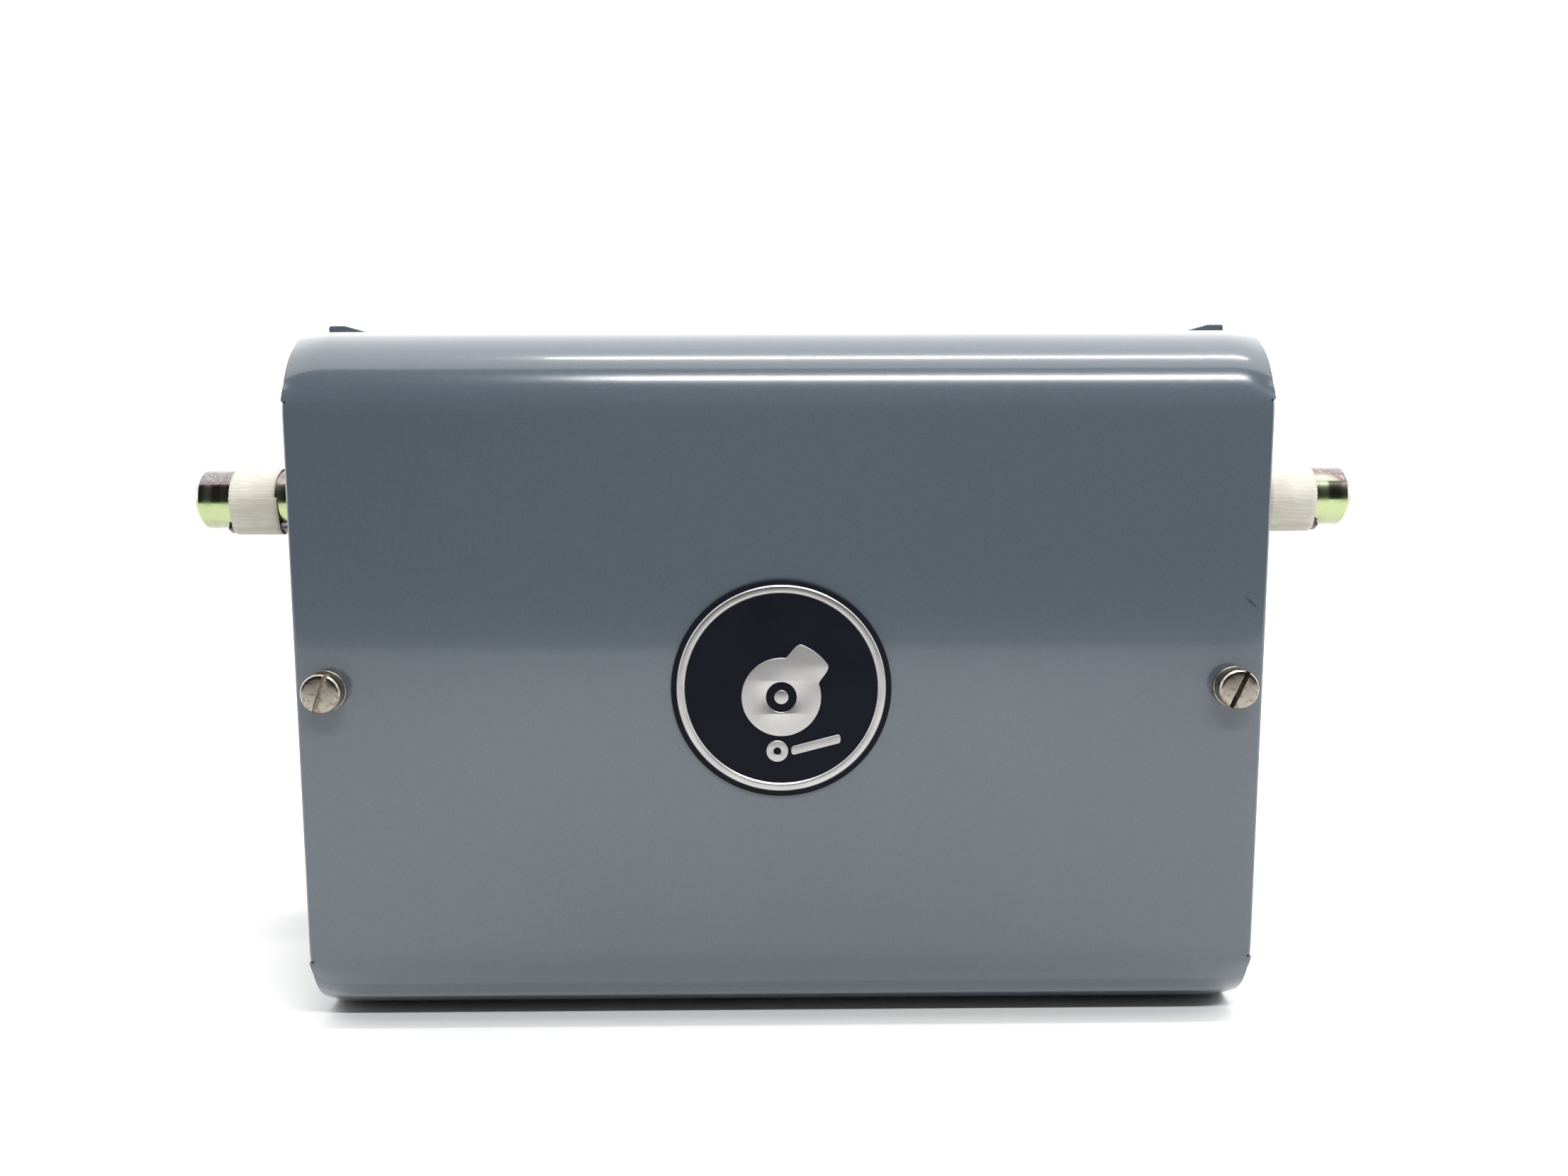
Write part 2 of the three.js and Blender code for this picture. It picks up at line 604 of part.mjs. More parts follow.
/** Moulded contact block with a stepped terminal shelf and barriers, and a bore for the plunger. */
function contactBlock() {
  const top = blockTop - shaftHeight;
  const bottom = blockBottom - shaftHeight;
  const half = blockWidth / 2;
  const step = blockFront + blockStepDepth;
  const shelf = top - blockStepHeight;
  const sideView = outline(
    [blockBack, top], [step, top], [step, shelf],
    [blockFront, shelf], [blockFront, bottom], [blockBack, bottom]);
  const barrierZ = [top - barrierHeight, top - barrierDrop];
  let body = alongX(sideView, [-half, half]);
  for (const x of [-half, -barrierWidth / 2, half - barrierWidth]) {
    body = body.add(block([x, x + barrierWidth], [blockFront, step + barrierWidth / 2], barrierZ));
  }
  const boreFoot = plungerFoot - springLength - shaftHeight;
  const boreRadius = plungerRadius + runGap;
  const boreTop = top + overCut;
  const bore = turned([[0, boreFoot], [boreRadius, boreFoot], [boreRadius, boreTop], [0, boreTop]]);
  return body.subtract(bore.translate([0, plungerY, 0]));
}

/** Round-nosed plunger that the lever pushes down. */
function plunger() {
  const top = plungerTop - shaftHeight;
  const foot = plungerFoot - shaftHeight;
  return turned([
    [0, foot], [plungerRadius, foot], [plungerRadius, top - plungerTip], [plungerTipRadius, top], [0, top],
  ]).translate([0, plungerY, 0]);
}

/** Coil spring under the plunger. */
function plungerSpring() {
  const rise = springLength - springWire - 2 * seatGap;
  const start = plungerFoot - shaftHeight - springLength + springWire / 2 + seatGap;
  class Coil extends THREE.Curve {
    getPoint(t, target = new THREE.Vector3()) {
      const angle = t * springTurns * 2 * Math.PI;
      const y = plungerY + springRadius * Math.sin(angle);
      return target.set(springRadius * Math.cos(angle), y, start + rise * t);
    }
  }
  const wire = new THREE.Shape(arc(0, 0, springWire / 2, 0, 360, 5).slice(1));
  const steps = springTurns * springSteps;
  return solid(new THREE.ExtrudeGeometry(wire, { steps, extrudePath: new Coil() }));
}

// ---------------------------------------------------------------- assembly

const limitSwitch = new THREE.Group();

function addCase() {
  limitSwitch.add(part('back_plate', backPlate(), greyPaint));
  limitSwitch.add(part('front_cover', frontCover(), greyPaint));
  limitSwitch.add(part('earth_screw', earthScrew(), nickel));
  for (const [name, side, slotAngle] of [['left', -1, leftSlotAngle], ['right', 1, rightSlotAngle]]) {
    limitSwitch.add(part(`${name}_end_plate`, endPlate(side), darkPaint));
    limitSwitch.add(part(`${name}_bearing_housing`, bearingHousing(side), castMetal));
    limitSwitch.add(part(`${name}_bush`, bush(side), bronze));
    limitSwitch.add(part(`${name}_press_nut`, pressNut(side), nickel));
    limitSwitch.add(part(`${name}_conduit_plug`, conduitPlug(side), castMetal));
    limitSwitch.add(part(`${name}_cover_screw`, coverScrew(side, slotAngle), nickel));
    const washerRange = [frontFace - seatGap - washerThickness, frontFace - seatGap];
    limitSwitch.add(part(`${name}_screw_washer`, ring(side, washerRadius, washerRange), nickel));
    const retainerRange = [coverInside + seatGap, coverInside + seatGap + retainerThickness];
    limitSwitch.add(part(`${name}_screw_retainer`, ring(side, retainerRadius, retainerRange), blackMoulding));
  }
  limitSwitch.add(part('badge_plate', badgePlate(), badgeBlack));
  limitSwitch.add(part('badge_emblem', badgeEmblem(), badgeSilver));
}

function addShaft() {
  const shaft = new THREE.Group();
  shaft.position.z = shaftHeight;
  shaft.add(part('cam_shaft', camShaft(), yellowZinc));
  for (const [name, side, inset] of [['left', -1, leftTapeInset], ['right', 1, rightTapeInset]]) {
    shaft.add(part(`${name}_shaft_key`, keyBody(side, 0), yellowZinc));
    shaft.add(part(`${name}_key_tape`, keyTape(side, inset), paperTape));
    shaft.add(part(`${name}_thrust_collar`, thrustCollar(side), nickel));
  }
  limitSwitch.add(shaft);
}

function addCircuits() {
  for (let number = 1; number <= circuitCount; number += 1) {
    const circuit = new THREE.Group();
    circuit.position.set((number - (circuitCount + 1) / 2) * circuitPitch, 0, shaftHeight);
    const lobeAt = firstLobe + (360 / circuitCount) * (number - 1);
    circuit.add(part(`cam_${number}_fixed`, fixedCam(lobeAt), camSteel));
    circuit.add(part(`cam_${number}_setting`, settingCam(lobeAt), camSteel));
    circuit.add(part(`lever_${number}`, followerLever(), camSteel));
    circuit.add(part(`roller_${number}`, camRoller(), nickel));
    circuit.add(part(`contact_block_${number}`, contactBlock(), blackMoulding));
    circuit.add(part(`plunger_${number}`, plunger(), nickel));
    circuit.add(part(`plunger_spring_${number}`, plungerSpring(), nickel));
    limitSwitch.add(circuit);
  }
  const rodHalf = endOuter + pivotRodOverhang;
  const rod = rodX(pivotRodRadius, [-rodHalf, rodHalf], leverReach, pivotHeight);
  limitSwitch.add(part('lever_pivot_rod', rod, nickel));
  limitSwitch.add(part('contact_rail', contactRail(), nickel));
}

/** Channel on the back plate that carries the contact blocks. */
function contactRail() {
  const back = backFace - seatGap;
  const web = railFront + railSheet;
  const channel = outline(
    [railFront, railBottom], [back, railBottom],
    [back, railBottom + railSheet], [web, railBottom + railSheet],
    [web, railTop - railSheet], [back, railTop - railSheet], [back, railTop], [railFront, railTop]);
  return alongX(channel, [-betweenFlanges, betweenFlanges]);
}

addCase();
addShaft();
addCircuits();

export default limitSwitch;
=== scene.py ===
"""Looks of a rotary cam limit switch in a sheet-steel case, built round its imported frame.

Lengths in the code are millimetres in the frame's own axes (X along the shaft, the front faces -Y,
+Z up), and they turn into metres where a mesh is made.
"""

import json
import logging
import math
from dataclasses import dataclass, field
from enum import Enum
from typing import Iterable, Optional, Sequence

import bmesh
import bpy
from mathutils import Euler, Matrix, Vector
from mathutils.geometry import tessellate_polygon

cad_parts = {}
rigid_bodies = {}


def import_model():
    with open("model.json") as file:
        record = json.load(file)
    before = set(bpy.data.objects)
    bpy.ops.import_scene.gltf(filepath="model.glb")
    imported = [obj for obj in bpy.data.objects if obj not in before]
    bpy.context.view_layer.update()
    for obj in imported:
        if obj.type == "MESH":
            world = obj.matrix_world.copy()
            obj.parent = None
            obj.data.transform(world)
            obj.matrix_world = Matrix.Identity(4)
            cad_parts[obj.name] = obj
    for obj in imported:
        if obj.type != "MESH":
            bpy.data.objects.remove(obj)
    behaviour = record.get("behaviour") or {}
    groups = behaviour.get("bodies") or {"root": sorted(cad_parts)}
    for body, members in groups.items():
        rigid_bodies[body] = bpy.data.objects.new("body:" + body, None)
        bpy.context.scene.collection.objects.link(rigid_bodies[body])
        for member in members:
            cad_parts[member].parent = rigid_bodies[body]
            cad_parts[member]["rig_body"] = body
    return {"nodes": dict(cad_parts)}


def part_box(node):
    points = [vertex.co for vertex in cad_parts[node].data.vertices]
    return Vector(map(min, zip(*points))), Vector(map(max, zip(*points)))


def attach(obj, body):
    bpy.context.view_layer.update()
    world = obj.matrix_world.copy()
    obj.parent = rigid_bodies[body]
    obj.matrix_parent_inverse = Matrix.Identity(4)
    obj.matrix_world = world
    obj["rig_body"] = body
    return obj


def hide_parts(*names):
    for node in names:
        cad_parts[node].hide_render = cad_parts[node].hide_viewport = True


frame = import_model()

LOG = logging.getLogger("limit_switch")
MM = 0.001
Point = tuple[float, float]
Span = tuple[float, float]
Colour = tuple[float, float, float]
SIDES: dict[str, int] = {"left": -1, "right": 1}
SHARP_ANGLE = math.radians(38)
TINY = 1e-6
CIRCUITS = 4


class Axis(Enum):
    """Direction that a plate is drawn out along, or that a turned piece turns about."""

    X = 0
    Y = 1
    Z = 2


def cad_box(node: str) -> tuple[Vector, Vector]:
    """Gives a CAD node's lowest and highest corners in millimetres.

    Args:
        node: Name of the CAD node.

    Returns:
        The two corners.
    """
    low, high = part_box(node)
    return low / MM, high / MM


# ---------------------------------------------------------------- outlines


def arc(centre: Point, radius: float, start: float, end: float, steps: int) -> list[Point]:
    """Gives points along an arc, ends included.

    Args:
        centre: Middle of the arc.
        radius: Its radius.
        start: First angle in degrees.
        end: Last angle in degrees.
        steps: Number of stretches between the points.

    Returns:
        The points in order.
    """
    angles = [math.radians(start + (end - start) * i / steps) for i in range(steps + 1)]
    return [(centre[0] + radius * math.cos(a), centre[1] + radius * math.sin(a)) for a in angles]


def circle(radius: float, centre: Point = (0.0, 0.0), steps: int = 48) -> list[Point]:
    """Gives a closed round outline."""
    return arc(centre, radius, 0, 360, steps)[1:]


def rectangle(u: Span, v: Span) -> list[Point]:
    """Gives a rectangle between two spans."""
    return [(u[0], v[0]), (u[1], v[0]), (u[1], v[1]), (u[0], v[1])]


def soften(points: Sequence[Point], radius: float, steps: int = 4, closed: bool = True) -> list[Point]:
    """Rounds the corners of an outline or section.

    Args:
        points: Corners in order.
        radius: Radius of the rounding, cut down where a side is short.
        steps: Stretches of each rounded corner.
        closed: Whether the last point joins the first; else both ends stay sharp.

    Returns:
        The rounded points.
    """
    count = len(points)
    rounded: list[Point] = []
    for i, point in enumerate(points):
        if not closed and i in (0, count - 1):
            rounded.append(point)
            continue
        here = Vector(point)
        back = Vector(points[i - 1]) - here
        ahead = Vector(points[(i + 1) % count]) - here
        if back.length < TINY or ahead.length < TINY:
            continue
        half = back.angle(ahead) / 2
        if half > math.radians(80):
            rounded.append(point)
            continue
        reach = min(radius / math.tan(half), 0.45 * back.length, 0.45 * ahead.length)
        start = here + back.normalized() * reach
        end = here + ahead.normalized() * reach
        for k in range(steps + 1):
            t = k / steps
            spot = start * (1 - t) ** 2 + here * 2 * t * (1 - t) + end * t ** 2
            rounded.append((spot.x, spot.y))
    return rounded


def inset(loop: Sequence[Point], amount: float) -> list[Point]:
    """Moves a closed outline sideways, to the left of its direction.

    Args:
        loop: The outline's points.
        amount: How far it moves.

    Returns:
        The moved points, one for each given.
    """
    moved: list[Point] = []
    count = len(loop)
    for i in range(count):
        before = Vector(loop[i - 1])
        here = Vector(loop[i])
        after = Vector(loop[(i + 1) % count])
        first = (here - before).normalized()
        second = (after - here).normalized()
        left = Vector((-first.y - second.y, first.x + second.x))
        if left.length < 1e-9:
            left = Vector((-first.y, first.x))
        left.normalize()
        grow = max(0.4, left.dot(Vector((-first.y, first.x))))
        spot = here + left * (amount / grow)
        moved.append((spot.x, spot.y))
    return moved


def area_of(loop: Sequence[Point]) -> float:
    """Gives a loop's signed area, above 0 where it runs anticlockwise."""
    pairs = zip(loop, list(loop[1:]) + [loop[0]])
    return sum(a[0] * b[1] - b[0] * a[1] for a, b in pairs) / 2


# ---------------------------------------------------------------- meshes


@dataclass
class Shape:
    """A mesh under construction, in millimetres, with flat faces told from smooth ones."""

    verts: list[Vector] = field(default_factory=list)
    faces: list[tuple[int, ...]] = field(default_factory=list)
    flat: list[bool] = field(default_factory=list)

    def ring(self, points: Iterable[Sequence[float]]) -> list[int]:
        """Adds points and gives their numbers."""
        start = len(self.verts)
        self.verts.extend(Vector(p) for p in points)
        return list(range(start, len(self.verts)))

    def face(self, corners: Sequence[int], flat: bool = False) -> None:
        """Adds one face."""
        self.faces.append(tuple(corners))
        self.flat.append(flat)

    def bridge(self, first: Sequence[int], second: Sequence[int], closed: bool = True, flat: bool = False) -> None:
        """Joins two rings of the same count with a strip of four-sided faces."""
        count = len(first)
        for i in range(count if closed else count - 1):
            j = (i + 1) % count
            self.face((first[i], first[j], second[j], second[i]), flat)

    def mesh(self, name: str) -> bpy.types.Mesh:
        """Makes the Blender mesh, in metres, with its faces pointing out."""
        data = bpy.data.meshes.new(name)
        data.from_pydata([v * MM for v in self.verts], [], self.faces)
        data.polygons.foreach_set("use_smooth", [not f for f in self.flat])
        solid = bmesh.new()
        solid.from_mesh(data)
        bmesh.ops.remove_doubles(solid, verts=solid.verts, dist=1e-7)
        bmesh.ops.recalc_face_normals(solid, faces=solid.faces)
        solid.to_mesh(data)
        solid.free()
        data.set_sharp_from_angle(angle=SHARP_ANGLE)
        return data


def turn_to(axis: Axis) -> Matrix:
    """Gives the matrix that lays a piece made about Z along an axis."""
    if axis is Axis.X:
        return Matrix(((0, 0, 1, 0), (1, 0, 0, 0), (0, 1, 0, 0), (0, 0, 0, 1)))
    if axis is Axis.Y:
        return Matrix(((1, 0, 0, 0), (0, 0, -1, 0), (0, 1, 0, 0), (0, 0, 0, 1)))
    return Matrix.Identity(4)


def place(data: bpy.types.Mesh, name: str, axis: Axis, at: Sequence[float], turn: float = 0.0) -> bpy.types.Object:
    """Makes an object of a mesh that was made about Z.

    Args:
        data: The mesh.
        name: Name of the piece.
        axis: Direction that its Z takes in the frame.
        at: Where its own origin goes, in millimetres.
        turn: Turn about its own Z, in degrees.

    Returns:
        The object, linked to the scene.
    """
    piece = bpy.data.objects.new(name, data)
    bpy.context.scene.collection.objects.link(piece)
    spin = Matrix.Rotation(math.radians(turn), 4, "Z")
    piece.matrix_world = Matrix.Translation(Vector(at) * MM) @ turn_to(axis) @ spin
    return piece


def plate(name: str, outline: Sequence[Point], span: Span, axis: Axis, holes: Sequence[Sequence[Point]] = (),
          bevel: float = 0.3, at: Sequence[float] = (0, 0, 0), turn: float = 0.0) -> bpy.types.Object:
    """Draws an outline with holes out into a plate with rounded edges.

    The outline lies in the plane across the axis: (Y, Z) for X, (X, Z) for Y and (X, Y) for Z.

    Args:
        name: Name of the piece.
        outline: Outer loop.
        span: Where the plate starts and ends along the axis.
        axis: Direction that it is drawn out along.
        holes: Inner loops.
        bevel: Rounding of the edges.
        at: Offset of the whole piece.
        turn: Turn about the axis, in degrees.

    Returns:
        The object.
    """
    flip = -1 if axis is Axis.Y else 1
    low, high = sorted(value * flip for value in span)
    steps = 3
    loops = [list(outline) if area_of(outline) > 0 else list(reversed(outline))]
    loops += [list(h) if area_of(h) < 0 else list(reversed(h)) for h in holes]
    shape = Shape()
    caps: list[list[list[int]]] = [[], []]
    levels = [math.radians(90 * k / steps) for k in range(steps + 1)]
    profile = [(bevel * (1 - math.sin(a)), low + bevel * (1 - math.cos(a))) for a in levels]
    profile += [(p[0], high - (p[1] - low)) for p in reversed(profile)]
    for loop in loops:
        rings = [shape.ring([(*p, z) for p in inset(loop, depth)]) for depth, z in profile]
        for first, second in zip(rings, rings[1:]):
            shape.bridge(first, second)
        caps[0].append(rings[0])
        caps[1].append(rings[-1])
    for cap in caps:
        numbers = [n for ring in cap for n in ring]
        for corners in tessellate_polygon([[shape.verts[n] for n in ring] for ring in cap]):
            shape.face([numbers[c] for c in corners], True)
    return place(shape.mesh(name), name, axis, at, turn)


def turned(name: str, section: Sequence[Point], axis: Axis, at: Sequence[float], sides: int = 72,
           edge: float = 0.3, turn: float = 0.0) -> bpy.types.Object:
    """Turns a section about an axis.

    Args:
        name: Name of the piece.
        section: (radius, height) points; it closes on itself where no end is on the axis.
        axis: The axis.
        at: A point on it, from which heights count.
        sides: Number of sides.
        edge: Rounding of the section's corners.
        turn: Turn about the axis, in degrees.

    Returns:
        The object.
    """
    closed = section[0][0] > 0
    points = soften(section, edge, 3, closed) if edge else list(section)
    shape = Shape()
    angles = [2 * math.pi * i / sides for i in range(sides)]
    rings = [
        shape.ring([(r * math.cos(a), r * math.sin(a), z) for a in angles] if r > TINY else [(0, 0, z)])
        for r, z in points
    ]
    pairs = list(zip(rings, rings[1:])) + ([(rings[-1], rings[0])] if closed else [])
    for first, second in pairs:
        flat = abs(shape.verts[first[0]].z - shape.verts[second[0]].z) < TINY
        if len(first) == 1:
            for i in range(sides):
                shape.face((first[0], second[i], second[(i + 1) % sides]), flat)
        elif len(second) == 1:
            for i in range(sides):
                shape.face((first[i], first[(i + 1) % sides], second[0]), flat)
        else:
            shape.bridge(first, second, True, flat)
    return place(shape.mesh(name), name, axis, at, turn)


def box(name: str, x: Span, y: Span, z: Span, bevel: float = 0.3) -> bpy.types.Object:
    """Makes a block with rounded upright edges and bevelled ends."""
    middle = [sum(span) / 2 for span in (x, y, z)]
    size = [abs(span[1] - span[0]) / 2 for span in (x, y, z)]
    corners = soften(rectangle((-size[0], size[0]), (-size[1], size[1])), bevel)
    return plate(name, corners, (-size[2], size[2]), Axis.Z, bevel=bevel, at=middle)


def hexagon(across: float, centre: Point = (0.0, 0.0)) -> list[Point]:
    """Gives a hexagon from its size across flats, with slightly rounded corners."""
    corners = arc(centre, across / math.sqrt(3), 0, 360, 6)[1:]
    return soften(corners, 0.35, 2)


def combine(piece: bpy.types.Object, others: Sequence[bpy.types.Object], how: str) -> bpy.types.Object:
    """Joins others to a piece or cuts them out of it, and removes them.

    Args:
        piece: The piece that stays.
        others: What is joined or cut.
        how: UNION or DIFFERENCE.

    Returns:
        The piece.
    """
    for other in others:
        tool = piece.modifiers.new("combine", "BOOLEAN")
        tool.operation = how
        tool.solver = "EXACT"
        tool.object = other
        bpy.context.view_layer.update()
        graph = bpy.context.evaluated_depsgraph_get()
        data = bpy.data.meshes.new_from_object(piece.evaluated_get(graph))
        piece.modifiers.clear()
        old = piece.data
        piece.data = data
        bpy.data.meshes.remove(old)
        bpy.data.objects.remove(other)
    piece.data.set_sharp_from_angle(angle=SHARP_ANGLE)
    return piece


def cut(piece: bpy.types.Object, *others: bpy.types.Object) -> bpy.types.Object:
    """Cuts the others out of a piece."""
    return combine(piece, others, "DIFFERENCE")


def join(piece: bpy.types.Object, *others: bpy.types.Object) -> bpy.types.Object:
    """Joins the others to a piece in one body."""
    return combine(piece, others, "UNION")


def finish_piece(piece: bpy.types.Object, body: str, material: bpy.types.Material,
                 stands_for: Sequence[str] = ()) -> bpy.types.Object:
    """Gives a piece its material and body, and reports it.

    Args:
        piece: The piece.
        body: CAD body that it rides on.
        material: Its material.
        stands_for: CAD nodes that it replaces.

    Returns:
        The piece.
    """
    piece.data.materials.clear()
    piece.data.materials.append(material)
    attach(piece, body)
    if stands_for:
        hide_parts(*stands_for)
    LOG.info("%s on %s, %d faces", piece.name, body, len(piece.data.polygons))
    return piece


# ---------------------------------------------------------------- shader building


class Slot(Enum):
    """The record's material slots."""

    PAINT = "grey_paint"
    YELLOW_ZINC = "yellow_zinc"
    NICKEL = "screw_nickel"
    ZINC = "bright_zinc"
    CASTING = "cast_metal"
    BRONZE = "bronze"
    MOULDING = "black_moulding"
    TAPE = "paper_tape"
    BADGE_DARK = "badge_black"
    BADGE_SILVER = "badge_silver"


class Graph:
    """Adds nodes to a node tree and links them."""

    def __init__(self, tree: bpy.types.NodeTree) -> None:
        """Starts with an existing tree."""
        self.tree = tree

    def node(self, kind: str, inputs: Optional[dict] = None, **settings: object) -> bpy.types.Node:
        """Adds a node.

        Args:
            kind: The node's type.
            inputs: Socket name or number to a value or to a socket that feeds it.
            settings: The node's own properties.

        Returns:
            The node.
        """
        made = self.tree.nodes.new(kind)
        for key, value in settings.items():
            setattr(made, key, value)
        for key, value in (inputs or {}).items():
            self.feed(made.inputs[key], value)
        return made

    def feed(self, socket: bpy.types.NodeSocket, value: object) -> None:
        """Sets a socket, or links what feeds it."""
        if isinstance(value, bpy.types.NodeSocket):
            self.tree.links.new(value, socket)
        else:
            socket.default_value = value

    def maths(self, what: str, *values: object, clamp: bool = False) -> bpy.types.NodeSocket:
        """Adds a Math node and gives its result."""
        return self.node("ShaderNodeMath", dict(enumerate(values)), operation=what, use_clamp=clamp).outputs[0]

    def remap(self, value: object, low: float, high: float, to_low: float = 0.0,
              to_high: float = 1.0) -> bpy.types.NodeSocket:
        """Adds a smooth Map Range node and gives its result."""
        inputs = {"Value": value, "From Min": low, "From Max": high, "To Min": to_low, "To Max": to_high}
        return self.node("ShaderNodeMapRange", inputs, interpolation_type="SMOOTHSTEP").outputs["Result"]

    def mix(self, share: object, first: object, second: object) -> bpy.types.NodeSocket:
        """Mixes two colours, given as sockets or as (r, g, b)."""
        made = self.node("ShaderNodeMix", data_type="RGBA")
        self.feed(made.inputs["Factor"], share)
        for key, value in ((6, first), (7, second)):
            self.feed(made.inputs[key], value if isinstance(value, bpy.types.NodeSocket) else (*value, 1.0))
        return made.outputs[2]


def new_group(name: str, takes: dict[str, float], gives: Sequence[str]) -> tuple[Graph, dict, dict]:
    """Starts a shader node group with float sockets.

    Args:
        name: Name of the group.
        takes: Input names and their defaults.
        gives: Output names.

    Returns:
        The graph, the input sockets inside it, and the output sockets inside it.
    """
    tree = bpy.data.node_groups.new(name, "ShaderNodeTree")
    for key, value in takes.items():
        made = tree.interface.new_socket(name=key, in_out="INPUT", socket_type="NodeSocketFloat")
        made.default_value = value
    for key in gives:
        tree.interface.new_socket(name=key, in_out="OUTPUT", socket_type="NodeSocketFloat")
    graph = Graph(tree)
    start = graph.node("NodeGroupInput")
    end = graph.node("NodeGroupOutput")
    return graph, {key: start.outputs[key] for key in takes}, {key: end.inputs[key] for key in gives}


def mottle_group() -> bpy.types.NodeTree:
    """Cloudy variation in the piece's own space: a coarse and a fine value from 0 to 1."""
    graph, takes, gives = new_group("cloudy_variation", {"Coarse Scale": 20.0, "Fine Scale": 900.0},
                                    ("Coarse", "Fine"))
    place_at = graph.node("ShaderNodeTexCoord").outputs["Object"]
    coarse = graph.node("ShaderNodeTexNoise", {"Vector": place_at, "Scale": takes["Coarse Scale"], "Detail": 4.0})
    fine = graph.node("ShaderNodeTexNoise", {"Vector": place_at, "Scale": takes["Fine Scale"], "Detail": 2.0})
    graph.feed(gives["Coarse"], graph.remap(coarse.outputs[0], 0.3, 0.7))
    graph.feed(gives["Fine"], graph.remap(fine.outputs[0], 0.25, 0.75))
    return graph.tree


def edge_wear_group() -> bpy.types.NodeTree:
    """Mask of convex edges, broken up by noise."""
    graph, takes, gives = new_group("edge_wear", {"Start": 0.53, "Full": 0.62, "Patch Scale": 120.0}, ("Mask",))
    point = graph.node("ShaderNodeNewGeometry").outputs["Pointiness"]
    place_at = graph.node("ShaderNodeTexCoord").outputs["Object"]
    patches = graph.node("ShaderNodeTexNoise", {"Vector": place_at, "Scale": takes["Patch Scale"], "Detail": 5.0})
    edge = graph.node("ShaderNodeMapRange", {"Value": point, "From Min": takes["Start"], "From Max": takes["Full"]})
    broken = graph.remap(patches.outputs[0], 0.46, 0.6)
    graph.feed(gives["Mask"], graph.maths("MULTIPLY", edge.outputs[0], broken, clamp=True))
    return graph.tree


def tool_marks_group() -> bpy.types.NodeTree:
    """Rings that a cutting tool leaves on a piece turned about its own Z."""
    graph, takes, gives = new_group("tool_marks", {"Scale": 2500.0, "Wander": 0.02}, ("Height", "Broad"))
    place_at = graph.node("ShaderNodeTexCoord").outputs["Object"]
    split = graph.node("ShaderNodeSeparateXYZ", {0: place_at})
    flat = graph.node("ShaderNodeCombineXYZ", {"X": split.outputs["X"], "Y": split.outputs["Y"]})
    radius = graph.node("ShaderNodeVectorMath", {0: flat.outputs[0]}, operation="LENGTH").outputs["Value"]
    drift = graph.node("ShaderNodeVectorMath", {0: place_at}, operation="SCALE")
    graph.feed(drift.inputs["Scale"], takes["Wander"])
    ring = graph.node("ShaderNodeCombineXYZ", {"X": radius, "Z": split.outputs["Z"]})
    spot = graph.node("ShaderNodeVectorMath", {0: ring.outputs[0], 1: drift.outputs[0]}, operation="ADD")
    marks = graph.node("ShaderNodeTexNoise", {"Vector": spot.outputs[0], "Scale": takes["Scale"], "Detail": 3.0})
    slow = graph.maths("MULTIPLY", takes["Scale"], 0.12)
    broad = graph.node("ShaderNodeTexNoise", {"Vector": spot.outputs[0], "Scale": slow, "Detail": 2.0})
    graph.feed(gives["Height"], marks.outputs[0])
    graph.feed(gives["Broad"], graph.remap(broad.outputs[0], 0.35, 0.65))
    return graph.tree


def dust_group() -> bpy.types.NodeTree:
    """Mask of the dust that settles on faces that look up."""
    graph, takes, gives = new_group("settled_dust", {"Amount": 0.3}, ("Mask",))
    normal = graph.node("ShaderNodeNewGeometry").outputs["Normal"]
    place_at = graph.node("ShaderNodeTexCoord").outputs["Object"]
    up = graph.node("ShaderNodeSeparateXYZ", {0: normal}).outputs["Z"]
    specks = graph.node("ShaderNodeTexNoise", {"Vector": place_at, "Scale": 1100.0, "Detail": 5.0, "Roughness": 0.6})
    lying = graph.maths("MULTIPLY", graph.remap(up, 0.55, 0.98), graph.remap(specks.outputs[0], 0.42, 0.68))
    graph.feed(gives["Mask"], graph.maths("MULTIPLY", lying, takes["Amount"]))
    return graph.tree


GROUPS: dict[str, bpy.types.NodeTree] = {
    "mottle": mottle_group(),
    "wear": edge_wear_group(),
    "marks": tool_marks_group(),
    "dust": dust_group(),
}


class Surface(Graph):
    """A material's own node tree, with its Principled shader."""

    def __init__(self, name: str) -> None:
        """Makes the material and keeps its shader at hand."""
        self.material = bpy.data.materials.new(name)
        self.material.use_nodes = True
        super().__init__(self.material.node_tree)
        self.shader = self.tree.nodes["Principled BSDF"]

    def group(self, which: str, **values: float) -> bpy.types.Node:
        """Places a shared group with its values, given with underscores for spaces."""
        made = self.node("ShaderNodeGroup", node_tree=GROUPS[which])
        for key, value in values.items():
            made.inputs[key.replace("_", " ")].default_value = value
        return made

    def put(self, **values: object) -> None:
        """Sets or feeds the shader's sockets, given with underscores for spaces."""
        for key, value in values.items():
            if isinstance(value, tuple) and len(value) == 3:
                value = (*value, 1.0)
            self.feed(self.shader.inputs[key.replace("_", " ")], value)

    def bump(self, height: object, depth: float, below: Optional[bpy.types.NodeSocket] = None) -> bpy.types.NodeSocket:
        """Turns a height into a normal.

        Args:
            height: Socket with a height from 0 to 1.
            depth: Millimetres between 0 and 1.
            below: Normal of a coarser bump that this one lies on.

        Returns:
            The normal.
        """
        made = self.node("ShaderNodeBump", {"Height": height, "Distance": depth * MM, "Strength": 1.0})
        if below is not None:
            self.feed(made.inputs["Normal"], below)
        return made.outputs["Normal"]


